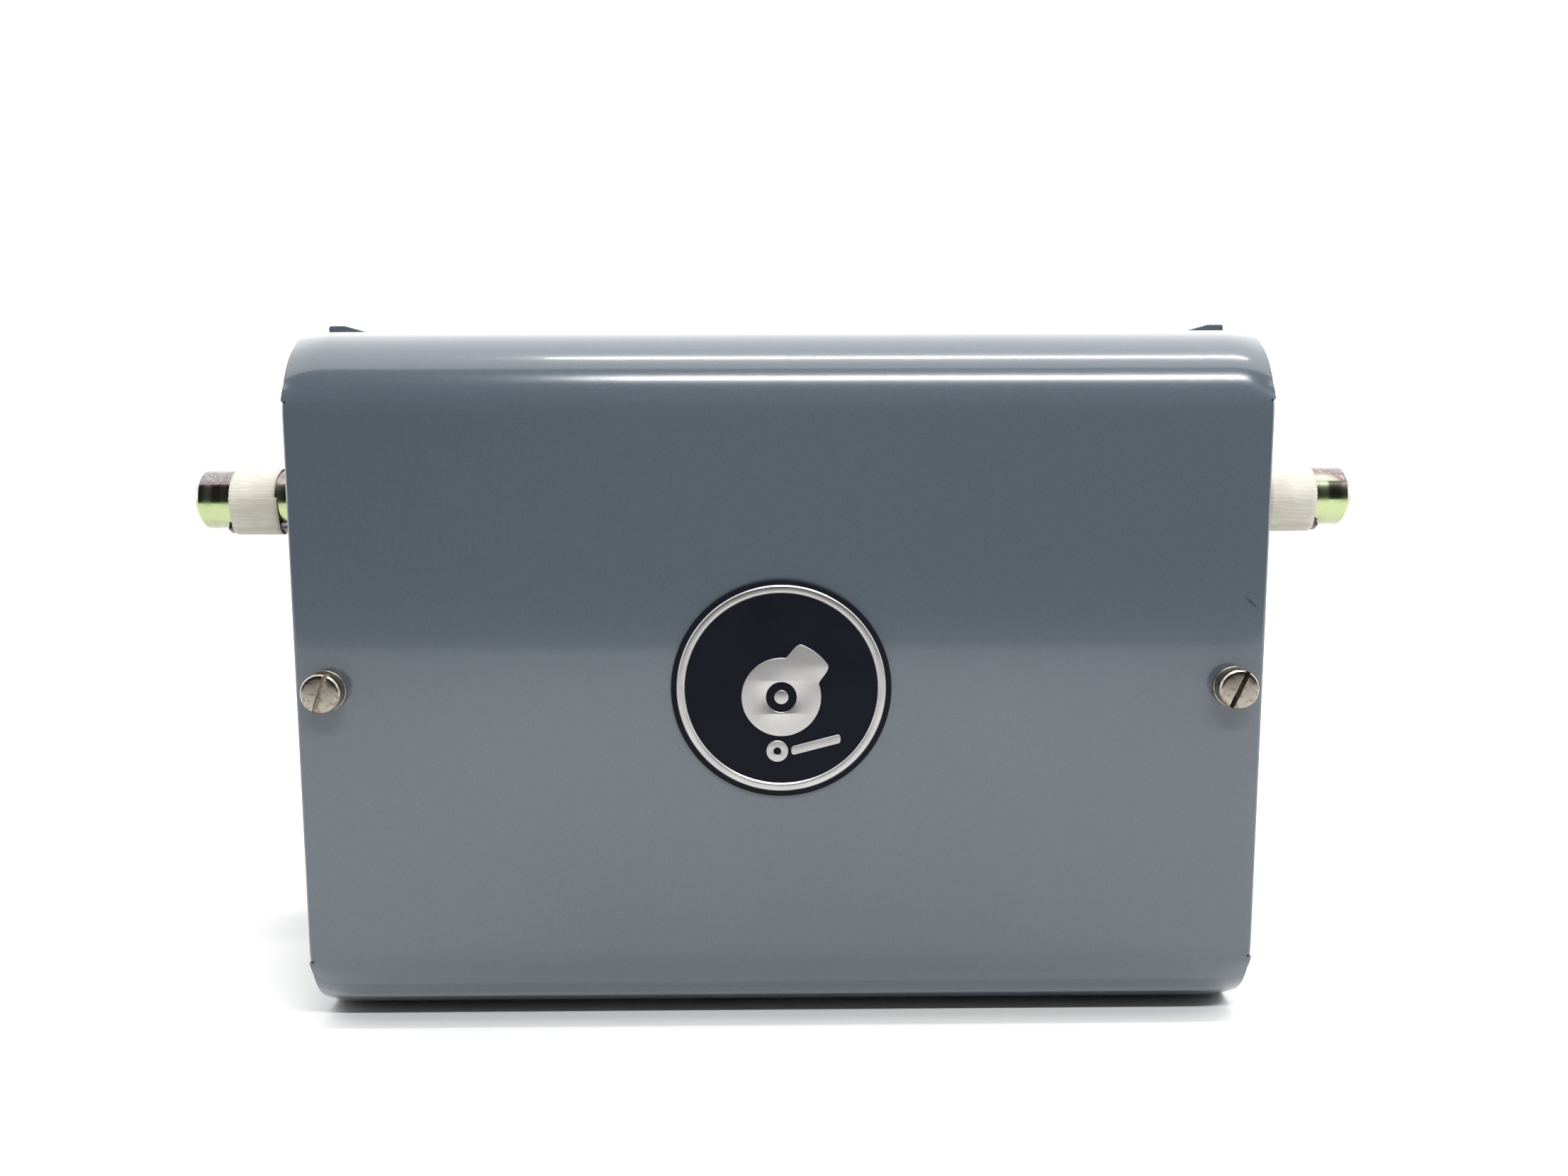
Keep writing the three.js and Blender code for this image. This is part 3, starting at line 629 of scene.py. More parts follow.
@dataclass(frozen=True)
class Enamel:
    """Glossy stoved enamel on sheet steel."""

    name: str
    colour: Colour
    shade: Colour
    roughness: float = 0.2
    coat: float = 0.5
    peel: float = 0.0035
    sag: float = 0.05
    dust: float = 0.025
    scuff_at: Optional[tuple[float, float, float]] = None

    def material(self) -> bpy.types.Material:
        """Builds the material."""
        surface = Surface(self.name)
        mottle = surface.group("mottle", Coarse_Scale=9.0, Fine_Scale=1500.0)
        peel = surface.group("mottle", Coarse_Scale=330.0, Fine_Scale=3000.0)
        dust = surface.group("dust", Amount=self.dust).outputs["Mask"]
        base = surface.mix(mottle.outputs["Coarse"], self.colour, self.shade)
        speck = surface.remap(mottle.outputs["Fine"], 0.0, 1.0, 0.0, 0.16)
        base = surface.mix(speck, base, tuple(0.55 * part for part in self.shade))
        base = surface.mix(dust, base, (0.40, 0.41, 0.41))
        gloss = surface.remap(mottle.outputs["Coarse"], 0.0, 1.0, self.roughness * 0.88, self.roughness * 1.12)
        gloss = surface.maths("ADD", gloss, surface.maths("MULTIPLY", dust, 0.5), clamp=True)
        if self.scuff_at:
            scuff = self.scuff(surface)
            base = surface.mix(scuff, base, (0.018, 0.020, 0.024))
            gloss = surface.maths("ADD", gloss, surface.maths("MULTIPLY", scuff, 0.3), clamp=True)
        coarse = surface.bump(mottle.outputs["Coarse"], self.sag)
        normal = surface.bump(peel.outputs["Coarse"], self.peel, coarse)
        surface.put(Base_Color=base, Roughness=gloss, Normal=normal, Coat_Weight=self.coat, Coat_Roughness=0.06,
                    Specular_IOR_Level=0.5)
        return surface.material

    def scuff(self, surface: Surface) -> bpy.types.NodeSocket:
        """Mask of one short slanting scrape in the paint."""
        place_at = surface.node("ShaderNodeTexCoord").outputs["Object"]
        away = surface.node("ShaderNodeVectorMath", {0: place_at, 1: Vector(self.scuff_at) * MM}, operation="SUBTRACT")
        turned_by = surface.node("ShaderNodeVectorRotate", {"Vector": away.outputs[0], "Angle": math.radians(-42)},
                                 rotation_type="Y_AXIS")
        size = Vector((1 / 2.0, 0.0, 1 / 0.42)) / MM
        scaled = surface.node("ShaderNodeVectorMath", {0: turned_by.outputs[0], 1: size}, operation="MULTIPLY")
        reach = surface.node("ShaderNodeVectorMath", {0: scaled.outputs[0]}, operation="LENGTH").outputs["Value"]
        ragged = surface.node("ShaderNodeTexNoise", {"Vector": place_at, "Scale": 1400.0, "Detail": 3.0})
        edge = surface.maths("ADD", reach, surface.remap(ragged.outputs[0], 0.3, 0.7, -0.4, 0.4))
        return surface.remap(edge, 0.5, 1.15, 0.85, 0.0)


@dataclass(frozen=True)
class Metal:
    """Plated, turned or cast metal."""

    name: str
    light: Colour
    dark: Colour
    roughness: float
    mark_scale: float = 2500.0
    mark_depth: float = 0.002
    grain_scale: float = 1500.0
    grain_depth: float = 0.0
    tarnish: Optional[Colour] = None
    worn: Optional[Colour] = None

    def material(self) -> bpy.types.Material:
        """Builds the material."""
        surface = Surface(self.name)
        mottle = surface.group("mottle", Coarse_Scale=160.0, Fine_Scale=self.grain_scale)
        marks = surface.group("marks", Scale=self.mark_scale)
        base = surface.mix(mottle.outputs["Coarse"], self.light, self.dark)
        if self.tarnish:
            spots = surface.remap(mottle.outputs["Fine"], 0.62, 0.95, 0.0, 0.7)
            base = surface.mix(spots, base, self.tarnish)
        if self.worn:
            base = surface.mix(surface.group("wear", Patch_Scale=400.0).outputs["Mask"], base, self.worn)
        rough = surface.remap(marks.outputs["Broad"], 0.0, 1.0, self.roughness * 0.8, self.roughness * 1.25)
        normal = surface.bump(marks.outputs["Height"], self.mark_depth)
        if self.grain_depth:
            normal = surface.bump(mottle.outputs["Fine"], self.grain_depth, normal)
        surface.put(Base_Color=base, Roughness=rough, Metallic=1.0, Normal=normal)
        return surface.material


@dataclass(frozen=True)
class YellowZinc:
    """Yellow-passivated zinc whose colour shifts from tan through green to pink by height round a shaft: partly the
    film's tint, partly a painted reflection of the surroundings.
    """

    name: str
    radius: float
    roughness: float = 0.2
    mark_depth: float = 0.0025
    speck: Colour = (0.52, 0.50, 0.40)
    # Colour stops from the bottom of the shaft to its top, with painted reflection in them: pale yellow-green where the
    # floor is mirrored, darker green where the dark card is mirrored, pink-grey near the top.
    tint_and_reflection_bands: tuple[tuple[float, Colour], ...] = (
        (0.00, (0.34, 0.36, 0.24)),
        (0.24, (0.44, 0.50, 0.27)),
        (0.46, (0.42, 0.50, 0.25)),
        (0.58, (0.30, 0.40, 0.20)),
        (0.70, (0.42, 0.42, 0.33)),
        (0.84, (0.20, 0.145, 0.145)),
        (0.95, (0.19, 0.175, 0.18)),
    )

    def material(self) -> bpy.types.Material:
        """Builds the material."""
        surface = Surface(self.name)
        place_at = surface.node("ShaderNodeTexCoord").outputs["Object"]
        height = surface.node("ShaderNodeSeparateXYZ", {0: place_at}).outputs["Y"]
        film = surface.group("mottle", Coarse_Scale=70.0, Fine_Scale=1100.0)
        marks = surface.group("marks", Scale=1900.0, Wander=0.05)
        # Painted reflection: the colour is picked by height across the shaft.
        reach = self.radius * MM
        share = surface.node("ShaderNodeMapRange", {"Value": height, "From Min": -reach, "From Max": reach})
        sway = surface.remap(film.outputs["Coarse"], 0.0, 1.0, -0.11, 0.11)
        ramp = surface.node("ShaderNodeValToRGB", {"Fac": surface.maths("ADD", share.outputs[0], sway)})
        stops = ramp.color_ramp.elements
        while len(stops) < len(self.tint_and_reflection_bands):
            stops.new(1.0)
        for stop, (at, colour) in zip(stops, self.tint_and_reflection_bands):
            stop.position = at
            stop.color = (*colour, 1.0)
        speck = surface.remap(film.outputs["Fine"], 0.55, 1.0, 0.0, 0.35)
        base = surface.mix(speck, ramp.outputs["Color"], self.speck)
        rough = surface.remap(marks.outputs["Broad"], 0.0, 1.0, self.roughness * 0.75, self.roughness * 1.3)
        normal = surface.bump(marks.outputs["Height"], self.mark_depth)
        surface.put(Base_Color=base, Roughness=rough, Metallic=1.0, Normal=normal)
        return surface.material


@dataclass(frozen=True)
class Moulding:
    """Dark moulded plastic or thin enamel with a faint texture."""

    name: str
    colour: Colour
    bloom: Colour
    roughness: float
    grain: float = 0.004
    grain_scale: float = 1800.0
    shine: float = 0.5

    def material(self) -> bpy.types.Material:
        """Builds the material."""
        surface = Surface(self.name)
        mottle = surface.group("mottle", Coarse_Scale=60.0, Fine_Scale=self.grain_scale)
        wear = surface.group("wear", Patch_Scale=200.0).outputs["Mask"]
        base = surface.mix(surface.maths("MULTIPLY", mottle.outputs["Coarse"], 0.6), self.colour, self.bloom)
        base = surface.mix(surface.maths("MULTIPLY", wear, 0.25), base, tuple(2 * part for part in self.bloom))
        rough = surface.remap(mottle.outputs["Coarse"], 0.0, 1.0, self.roughness * 0.85, self.roughness * 1.15)
        surface.put(Base_Color=base, Roughness=rough, Normal=surface.bump(mottle.outputs["Fine"], self.grain),
                    Specular_IOR_Level=self.shine)
        return surface.material


@dataclass(frozen=True)
class CrepeTape:
    """Creped paper tape, with fine ridges across its length and painted shade in their hollows."""

    name: str
    colour: Colour = (0.62, 0.60, 0.53)
    shade: Colour = (0.53, 0.505, 0.43)
    ridge: float = 0.035

    def material(self) -> bpy.types.Material:
        """Builds the material."""
        surface = Surface(self.name)
        mottle = surface.group("mottle", Coarse_Scale=110.0, Fine_Scale=2600.0)
        place_at = surface.node("ShaderNodeTexCoord").outputs["Object"]
        stretch = surface.node("ShaderNodeVectorMath", {0: place_at, 1: (0.16, 1.0, 1.0)}, operation="MULTIPLY")
        ridges = surface.node("ShaderNodeTexNoise", {"Vector": stretch.outputs[0], "Scale": 1700.0, "Detail": 3.0,
                                                     "Roughness": 0.55})
        hollow = surface.remap(ridges.outputs[0], 0.35, 0.65)
        base = surface.mix(mottle.outputs["Coarse"], self.colour, self.shade)
        # Painted shade: the hollows between the ridges are darkened in the colour as well as bumped.
        crease_shade = surface.maths("MULTIPLY", surface.maths("SUBTRACT", 1.0, hollow), 0.35)
        base = surface.mix(crease_shade, base, tuple(0.8 * part for part in self.shade))
        normal = surface.bump(hollow, self.ridge)
        normal = surface.bump(mottle.outputs["Fine"], 0.006, normal)
        surface.put(Base_Color=base, Roughness=0.82, Normal=normal, Specular_IOR_Level=0.3)
        return surface.material


CASE_PAINT = Enamel("blue_grey_enamel", (0.079, 0.099, 0.120), (0.072, 0.090, 0.110), coat=0.65,
                    scuff_at=(110.4, -50.8, 104.6)).material()
FRAME_PAINT = Enamel("frame_enamel", (0.058, 0.070, 0.084), (0.048, 0.058, 0.070), roughness=0.3, coat=0.25,
                     peel=0.006, dust=0.08).material()
SHAFT_ZINC = YellowZinc("yellow_zinc_painted_reflections", 7.94).material()
NICKEL = Metal("warm_nickel", (0.37, 0.335, 0.285), (0.30, 0.275, 0.23), 0.25, 2600.0, 0.0025, 900.0, 0.001,
               (0.17, 0.14, 0.10)).material()
ZINC = Metal("bright_zinc_plate", (0.34, 0.35, 0.36), (0.28, 0.285, 0.28), 0.33, 1800.0, 0.002, 700.0, 0.002,
             (0.22, 0.21, 0.19)).material()
STEEL = Metal("stamped_steel", (0.30, 0.30, 0.285), (0.24, 0.235, 0.215), 0.38, 1200.0, 0.002, 1100.0, 0.003,
              (0.15, 0.13, 0.10), (0.40, 0.40, 0.39)).material()
KEY_STEEL = Metal("key_steel", (0.13, 0.115, 0.125), (0.085, 0.075, 0.085), 0.35, 1500.0, 0.002, 900.0, 0.003,
                  (0.07, 0.05, 0.04), (0.26, 0.25, 0.25)).material()
CASTING = Metal("fine_casting", (0.26, 0.265, 0.27), (0.20, 0.205, 0.21), 0.5, 300.0, 0.001, 1400.0, 0.012,
                (0.15, 0.15, 0.15), (0.34, 0.34, 0.34)).material()
BRONZE = Metal("sintered_bronze", (0.34, 0.22, 0.10), (0.26, 0.16, 0.065), 0.42, 2200.0, 0.003, 1700.0, 0.006,
               (0.11, 0.07, 0.035)).material()
BRASS = Metal("terminal_brass", (0.44, 0.34, 0.155), (0.36, 0.265, 0.11), 0.3, 2400.0, 0.002, 900.0, 0.001,
              (0.20, 0.14, 0.06)).material()
BLACK = Moulding("black_phenolic", (0.008, 0.008, 0.009), (0.014, 0.0135, 0.013), 0.36).material()
BADGE_DARK = Moulding("badge_enamel", (0.0035, 0.0045, 0.0090), (0.005, 0.0065, 0.012), 0.5, 0.002, 1200.0,
                      0.1).material()
BADGE_SILVER = Metal("badge_foil", (0.52, 0.515, 0.50), (0.45, 0.445, 0.435), 0.36, 900.0, 0.0005, 2200.0,
                     0.004).material()
TAPE = CrepeTape("crepe_tape").material()


def stand_in(piece: bpy.types.Object, node: str, material: bpy.types.Material, slot: Slot,
             *more: str) -> bpy.types.Object:
    """Puts a piece in the place of a CAD node, and of more nodes on the same body, and dresses it."""
    body = frame["nodes"][node]["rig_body"]
    return finish_piece(piece, body, material, (node, *more))


def extra(piece: bpy.types.Object, node: str, material: bpy.types.Material) -> bpy.types.Object:
    """Dresses a small piece that has no CAD node of its own and rides with the given one."""
    return finish_piece(piece, frame["nodes"][node]["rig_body"], material)


def round_edges(piece: bpy.types.Object, width: float, steps: int = 2) -> bpy.types.Object:
    """Adds a bevel to a piece's sharp edges, in millimetres, which leaves the faces beside them flat."""
    for face in piece.data.polygons:
        face.use_smooth = True
    piece.data.set_sharp_from_angle(angle=math.pi)
    bevel = piece.modifiers.new("edges", "BEVEL")
    bevel.width = width * MM
    bevel.segments = steps
    bevel.limit_method = "ANGLE"
    bevel.angle_limit = math.radians(50)
    bevel.harden_normals = True
    return piece


def threaded(radius: float, start: float, end: float, pitch: float = 0.8, depth: float = 0.32) -> list[Point]:
    """Gives the section of a thread's flank from one height to another."""
    points: list[Point] = []
    way = 1 if end > start else -1
    for k in range(int(abs(end - start) / pitch)):
        foot = start + way * k * pitch
        points += [(radius - depth, foot + way * 0.1 * pitch), (radius, foot + way * 0.5 * pitch),
                   (radius, foot + way * 0.6 * pitch)]
    return points


# ---------------------------------------------------------------- case


@dataclass
class Cover:
    """The wrap-round cover in one bent sheet, with a flange down each side of its face."""

    width: float = 229.0
    height: float = 169.0
    front: float = -50.8
    lip: float = 45.8
    sheet: float = 1.6
    roll: float = 21.0
    roll_steps: int = 26
    flange_depth: float = 14.0
    overrun: float = 3.3
    edge_radius: float = 1.2
    margin: float = 9.0
    margin_steps: int = 8
    edge_steps: int = 7
    draw_in: float = 1.1
    slit: float = 0.6
    screw_x: float = 107.0
    hole: float = 2.7

    def rows(self) -> list[tuple[float, float, float, bool]]:
        """Gives (y, z, angle of the normal, has a flange) along the sheet, from bottom to top."""
        lean = math.degrees(math.asin(self.overrun / self.roll))
        gap = math.degrees(self.slit / self.roll)
        bend_y = self.front + self.roll
        share = (90 - lean - gap) / self.roll_steps
        angles = [90 - share * i for i in range(self.roll_steps + 1)] + [lean, lean / 2, 0.0]
        found: list[tuple[float, float, float, bool]] = [(self.lip, 0.0, 270.0, False)]
        for up, middle in ((-1, self.roll), (1, self.height - self.roll)):
            for lift in (angles if up < 0 else reversed(angles)):
                a = math.radians(180 - up * lift)
                spot = (bend_y + self.roll * math.cos(a), middle + self.roll * math.sin(a))
                found.append((*spot, 180 - up * lift, lift <= lean + TINY))
        found.append((self.lip, self.height, 90.0, False))
        return found

    def side_points(self, row: tuple[float, float, float, bool], side: int) -> list[tuple[float, float, float]]:
        """Gives one row's points from the flat part out to a side's edge."""
        y, z, angle, flanged = row
        half = self.width / 2
        normal = (math.cos(math.radians(angle)), math.sin(math.radians(angle)))
        radius = self.edge_radius
        if not flanged:
            lift = abs(180 - angle)
            sink = self.draw_in * min(1.0, (lift - 9) / 14) * (1.0 if lift < 60 else max(0.25, (100 - lift) / 40))
            points = []
            for k in range(self.margin_steps + 1):
                share = k / self.margin_steps
                drop = sink * share ** 2.2
                points.append((side * (half - self.margin + self.margin * share), y - normal[0] * drop,
                               z - normal[1] * drop))
            return points
        points = [(side * (half - self.margin), y, z)]
        for k in range(self.edge_steps + 1):
            turn = math.radians(90 * k / self.edge_steps)
            drop = radius * (1 - math.cos(turn))
            points.append((side * (half - radius + radius * math.sin(turn)), y - normal[0] * drop,
                           z - normal[1] * drop))
        last = Vector(points[-1])
        foot = Vector((side * half, self.front + self.flange_depth, z))
        points += [tuple(last.lerp(foot, share)) for share in (0.5, 1.0)]
        return points

    def mesh(self) -> bpy.types.Object:
        """Builds the sheet, gives it its thickness and cuts the two screw holes."""
        shape = Shape()
        rows = self.rows()
        edges: dict[int, list[list[int]]] = {side: [] for side in (-1, 1)}
        for side in edges:
            for row in rows:
                edges[side].append(shape.ring(self.side_points(row, side)))
        for i in range(len(rows) - 1):
            lower, upper = i, i + 1
            shape.face((edges[-1][lower][0], edges[1][lower][0], edges[1][upper][0], edges[-1][upper][0]))
            for side in edges:
                near, far = edges[side][lower], edges[side][upper]
                if len(near) == len(far):
                    shape.bridge(near, far, False)
                    continue
                bent, plain = (near, far) if len(near) > len(far) else (far, near)
                shape.face((*bent[:2], *reversed(plain[:self.margin_steps])))
        piece = place(shape.mesh("front_cover_sheet"), "front_cover_sheet", Axis.Z, (0, 0, 0))
        face = max(piece.data.polygons, key=lambda p: p.area)
        if face.normal.y * face.center.y < 0:
            piece.data.flip_normals()
        solid = piece.modifiers.new("sheet", "SOLIDIFY")
        solid.thickness = self.sheet * MM
        solid.offset = -1
        solid.use_even_offset = True
        holes = [
            plate(f"hole_{side}", circle(self.hole, (side * self.screw_x, self.height / 2), 32),
                  (self.front - 2, self.front + 4), Axis.Y, bevel=0) for side in (-1, 1)
        ]
        return round_edges(cut(piece, *holes), 0.22)

    def build(self) -> None:
        """Makes and dresses the cover."""
        stand_in(self.mesh(), "front_cover", CASE_PAINT, Slot.PAINT)


@dataclass
class BackPlate:
    """The plate that bolts to the wall, with raised top corners, and its earth screw."""

    half: float = 137.3
    front: float = 47.8
    back: float = 50.8
    ear_top: float = 177.6
    cover_top: float = 169.0
    ear_flat: float = 5.0
    ear_slope: float = 31.0
    corner: float = 6.0
    hole: float = 3.55
    hole_x: float = 127.0
    hole_z: tuple[float, float] = (8.3, 160.7)
    edge_half: float = 97.2
    edge_depth: float = 12.0
    edge_z: tuple[Span, Span] = ((3.0, 5.0), (164.0, 166.0))
    earth: tuple[float, float] = (84.0, 24.0)

    def outline(self) -> list[Point]:
        """Gives the plate's outline, with its upper corners slightly rounded."""
        half, corner = self.half, self.corner
        foot = half - self.ear_flat - self.ear_slope
        upper = [(half, 60.0), (half, self.ear_top), (half - self.ear_flat, self.ear_top), (foot, self.cover_top),
                 (-foot, self.cover_top), (-half + self.ear_flat, self.ear_top), (-half, self.ear_top), (-half, 60.0)]
        lower = arc((-half + corner, corner), corner, 180, 270, 8) + arc((half - corner, corner), corner, 270, 360, 8)
        return lower + soften(upper, 0.9, 3, False)

    def build(self) -> None:
        """Makes and dresses the plate and the earth screw."""
        holes = [circle(self.hole, (side * self.hole_x, z), 36) for side in (-1, 1) for z in self.hole_z]
        holes.append(circle(2.6, self.earth, 24))
        piece = plate("wall_plate", self.outline(), (self.front, self.back), Axis.Y, holes, 0.4)
        for i, (low, high) in enumerate(self.edge_z):
            section = [(self.front + 1.5, low), (self.front + 1.5, high), (self.front - self.edge_depth, high),
                       (self.front - self.edge_depth, low)]
            strip = plate(f"edge_{i}", soften(section, 0.5), (-self.edge_half, self.edge_half), Axis.X, bevel=0.3)
            piece = join(piece, strip)
        stand_in(piece, "back_plate", CASE_PAINT, Slot.PAINT)
        x, z = self.earth
        head = plate("earth_hexagon", hexagon(8.4), (-3.1, -0.4), Axis.Y, bevel=0.45, at=(x, self.front, z))
        base = [(0, 0.1), (4.9, 0.1), (5.0, 0.5), (3.0, 0.75), (0, 0.75)]
        flange = turned("earth_flange", base, Axis.Y, (x, self.front, z), 40, 0.1)
        shank = [(0, -2.9), (2.2, -2.9), (2.45, -2.5), *threaded(2.45, -2.4, 0.0), (2.3, 0.2), (0, 0.2)]
        stem = turned("earth_stem", shank, Axis.Y, (x, self.front, z), 28, 0)
        stand_in(join(head, flange, stem), "earth_screw", NICKEL, Slot.NICKEL)


@dataclass
class EndPlate:
    """One end of the frame, with its bearing, its closed conduit hole and its press nut."""

    name: str
    side: int
    outer: float = 112.2
    inner: float = 110.2
    bottom: float = 3.0
    top: float = 166.0
    front: float = -47.8
    back: float = 47.7
    bend_y: float = -29.8
    roll_middle: float = 21.0
    roll: float = 18.0
    flange: float = 12.0
    shaft_z: float = 127.0
    bolt_y: float = 22.0
    conduit: tuple[float, float] = (14.0, 30.0)
    pivot: tuple[float, float] = (28.0, 94.7)
    screw: tuple[float, float] = (107.0, 84.5)
    housing_base: float = 112.3
    housing_end: float = 127.4
    boss: float = 14.44
    bore: float = 11.04

    def span(self, first: float, second: float) -> Span:
        """Gives a range along X on this side."""
        return (self.side * first, self.side * second)

    def lathe(self, name: str, section: Sequence[Point], y: float, z: float, sides: int = 72,
              edge: float = 0.3) -> bpy.types.Object:
        """Turns a section of (radius, distance from the middle of the case) about X on this side."""
        return turned(name, [(r, self.side * x) for r, x in section], Axis.X, (0, y, z), sides, edge)

    def wall(self) -> bpy.types.Object:
        """Makes the plate with its holes and its two turned-in edges."""
        outline = [(self.back, self.top), *arc((self.bend_y, self.top - self.roll), self.roll, 90, 180, 12),
                   *arc((self.bend_y, self.bottom + self.roll), self.roll, 180, 270, 12), (self.back, self.bottom)]
        holes = [circle(13.04, (0, self.shaft_z)), circle(11.1, self.conduit), circle(3.1, self.pivot, 24)]
        holes += [circle(2.6, (y, self.shaft_z), 24) for y in (-self.bolt_y, self.bolt_y)]
        piece = plate(f"{self.name}_end_wall", outline, self.span(self.inner, self.outer), Axis.X, holes, 0.3)
        ends = (self.roll_middle + 2, self.top + self.bottom - self.roll_middle - 2)
        for mark, low in (("front", self.front), ("back", self.back - 2)):
            x = sorted(self.span(self.inner - self.flange, self.inner + 1))
            corners = soften(rectangle((x[0], x[1]), (low, low + 2)), 0.4)
            piece = join(piece, plate(f"{self.name}_{mark}_edge", corners, ends, Axis.Z, bevel=0.3))
        nut = plate("nut_hole", circle(3.25, (self.side * self.screw[0], self.screw[1]), 28),
                    (self.front - 1, self.front + 3), Axis.Y, bevel=0)
        return cut(piece, nut)

    def housing(self) -> bpy.types.Object:
        """Makes the two-bolt flanged housing with its drafted boss."""
        reach, ear = self.bolt_y, 6.5
        lean = math.degrees(math.acos((self.boss - ear) / reach))
        z = self.shaft_z
        outline: list[Point] = []
        for start, way in ((0, 1), (180, -1)):
            outline += arc((way * reach, z), ear, start - lean, start + lean, 10)
            outline += arc((0, z), self.boss, start + lean, start + 180 - lean, 14)
        holes = [circle(self.bore, (0, z)), *(circle(2.6, (y, z), 24) for y in (-reach, reach))]
        base, end = self.housing_base, self.housing_end
        flange = plate(f"{self.name}_housing_body", outline, self.span(base, base + 4), Axis.X, holes, 0.7)
        section = [(self.bore, self.inner), (12.94, self.inner), (12.94, base + 1), (self.boss - 0.6, base + 1),
                   (self.boss - 0.6, base + 3.9), (self.boss - 0.15, base + 4.2), (self.boss - 0.75, base + 5.6),
                   (self.boss - 1.1, end), (self.bore, end)]
        return join(flange, self.lathe("boss", section, 0, z, 96, 0.55))

    def bolts(self) -> None:
        """Makes the two bolts with washers and nuts that hold the housing."""
        face = self.housing_base + 4
        for mark, y in (("front", -self.bolt_y), ("back", self.bolt_y)):
            at = (0, y, self.shaft_z)
            turn = 17 if y > 0 else -8
            head = plate(f"{self.name}_{mark}_housing_bolt", hexagon(8.0), self.span(face + 1, face + 4.4), Axis.X,
                         bevel=0.4, at=at, turn=turn)
            shank = [(0, face + 2), (2.4, face + 2), (2.4, self.inner - 2), *threaded(2.4, self.inner - 2, 104.4),
                     (2.0, 104.3), (0, 104.3)]
            body = join(head, self.lathe("stem", shank, y, self.shaft_z, 28, 0))
            extra(body, f"{self.name}_bearing_housing", ZINC)
            washer = [(2.7, face + 0.05), (5.0, face + 0.05), (5.0, face + 0.95), (2.7, face + 0.95)]
            ring = self.lathe(f"{self.name}_{mark}_bolt_washer", washer, y, self.shaft_z, 40, 0.2)
            extra(ring, f"{self.name}_bearing_housing", ZINC)
            nut = plate(f"{self.name}_{mark}_housing_nut", hexagon(8.0), self.span(106.1, self.inner - 0.05), Axis.X,
                        [circle(2.42, (0, 0), 24)], 0.4, at, turn + 21)
            extra(nut, f"{self.name}_bearing_housing", ZINC)

    def bush(self) -> bpy.types.Object:
        """Makes the flanged bush."""
        end = self.housing_end + 0.1
        section = [(8.04, 108.1), (12.54, 108.1), (12.54, 110.1), (10.94, 110.1), (10.94, end), (8.04, end)]
        return self.lathe(f"{self.name}_flanged_bush", section, 0, self.shaft_z, 96, 0.35)

    def plug(self) -> bpy.types.Object:
        """Makes the snap-in button: a dished cap with a rolled rim and a skirt."""
        y, z = self.conduit
        section = [(0, 112.75), (8.6, 112.75), (9.6, 113.8), (12.6, 113.8), (13.3, 113.2), (13.3, 112.3),
                   (10.9, 112.3), (10.9, 110.0), (10.6, 109.2), (10.1, 109.2), (10.1, 112.0), (0, 112.0)]
        return self.lathe(f"{self.name}_hole_button", section, y, z, 72, 0.3)

    def press_nut(self) -> bpy.types.Object:
        """Makes the press nut in the front edge."""
        x, z = self.screw
        section = [(2.5, 0.0), (3.15, 0.0), (3.15, -7.0), (2.5, -7.0)]
        grip = [(2.9, -2.02), (4.0, -2.02), (4.0, -2.7), (3.15, -3.4), (2.9, -3.4)]
        at = (self.side * x, self.front, z)
        nut = turned(f"{self.name}_pressed_nut", section, Axis.Y, at, 40, 0.15)
        return join(nut, turned("grip", grip, Axis.Y, at, 40, 0.15))

    def push_cap(self) -> bpy.types.Object:
        """Makes the push-on cap that keeps the pivot rod endways."""
        y, z = self.pivot
        section = [(3.02, 112.25), (5.6, 112.25), (6.0, 112.6), (5.7, 113.0), (4.2, 113.3), (3.02, 113.6)]
        return self.lathe(f"{self.name}_push_cap", section, y, z, 48, 0.15)

    def build(self) -> None:
        """Makes and dresses this end's pieces."""
        stand_in(self.wall(), f"{self.name}_end_plate", FRAME_PAINT, Slot.PAINT)
        stand_in(self.housing(), f"{self.name}_bearing_housing", CASTING, Slot.CASTING)
        self.bolts()
        stand_in(self.bush(), f"{self.name}_bush", BRONZE, Slot.BRONZE)
        stand_in(self.plug(), f"{self.name}_conduit_plug", ZINC, Slot.CASTING)
        stand_in(self.press_nut(), f"{self.name}_press_nut", ZINC, Slot.NICKEL)
        extra(self.push_cap(), f"{self.name}_end_plate", ZINC)


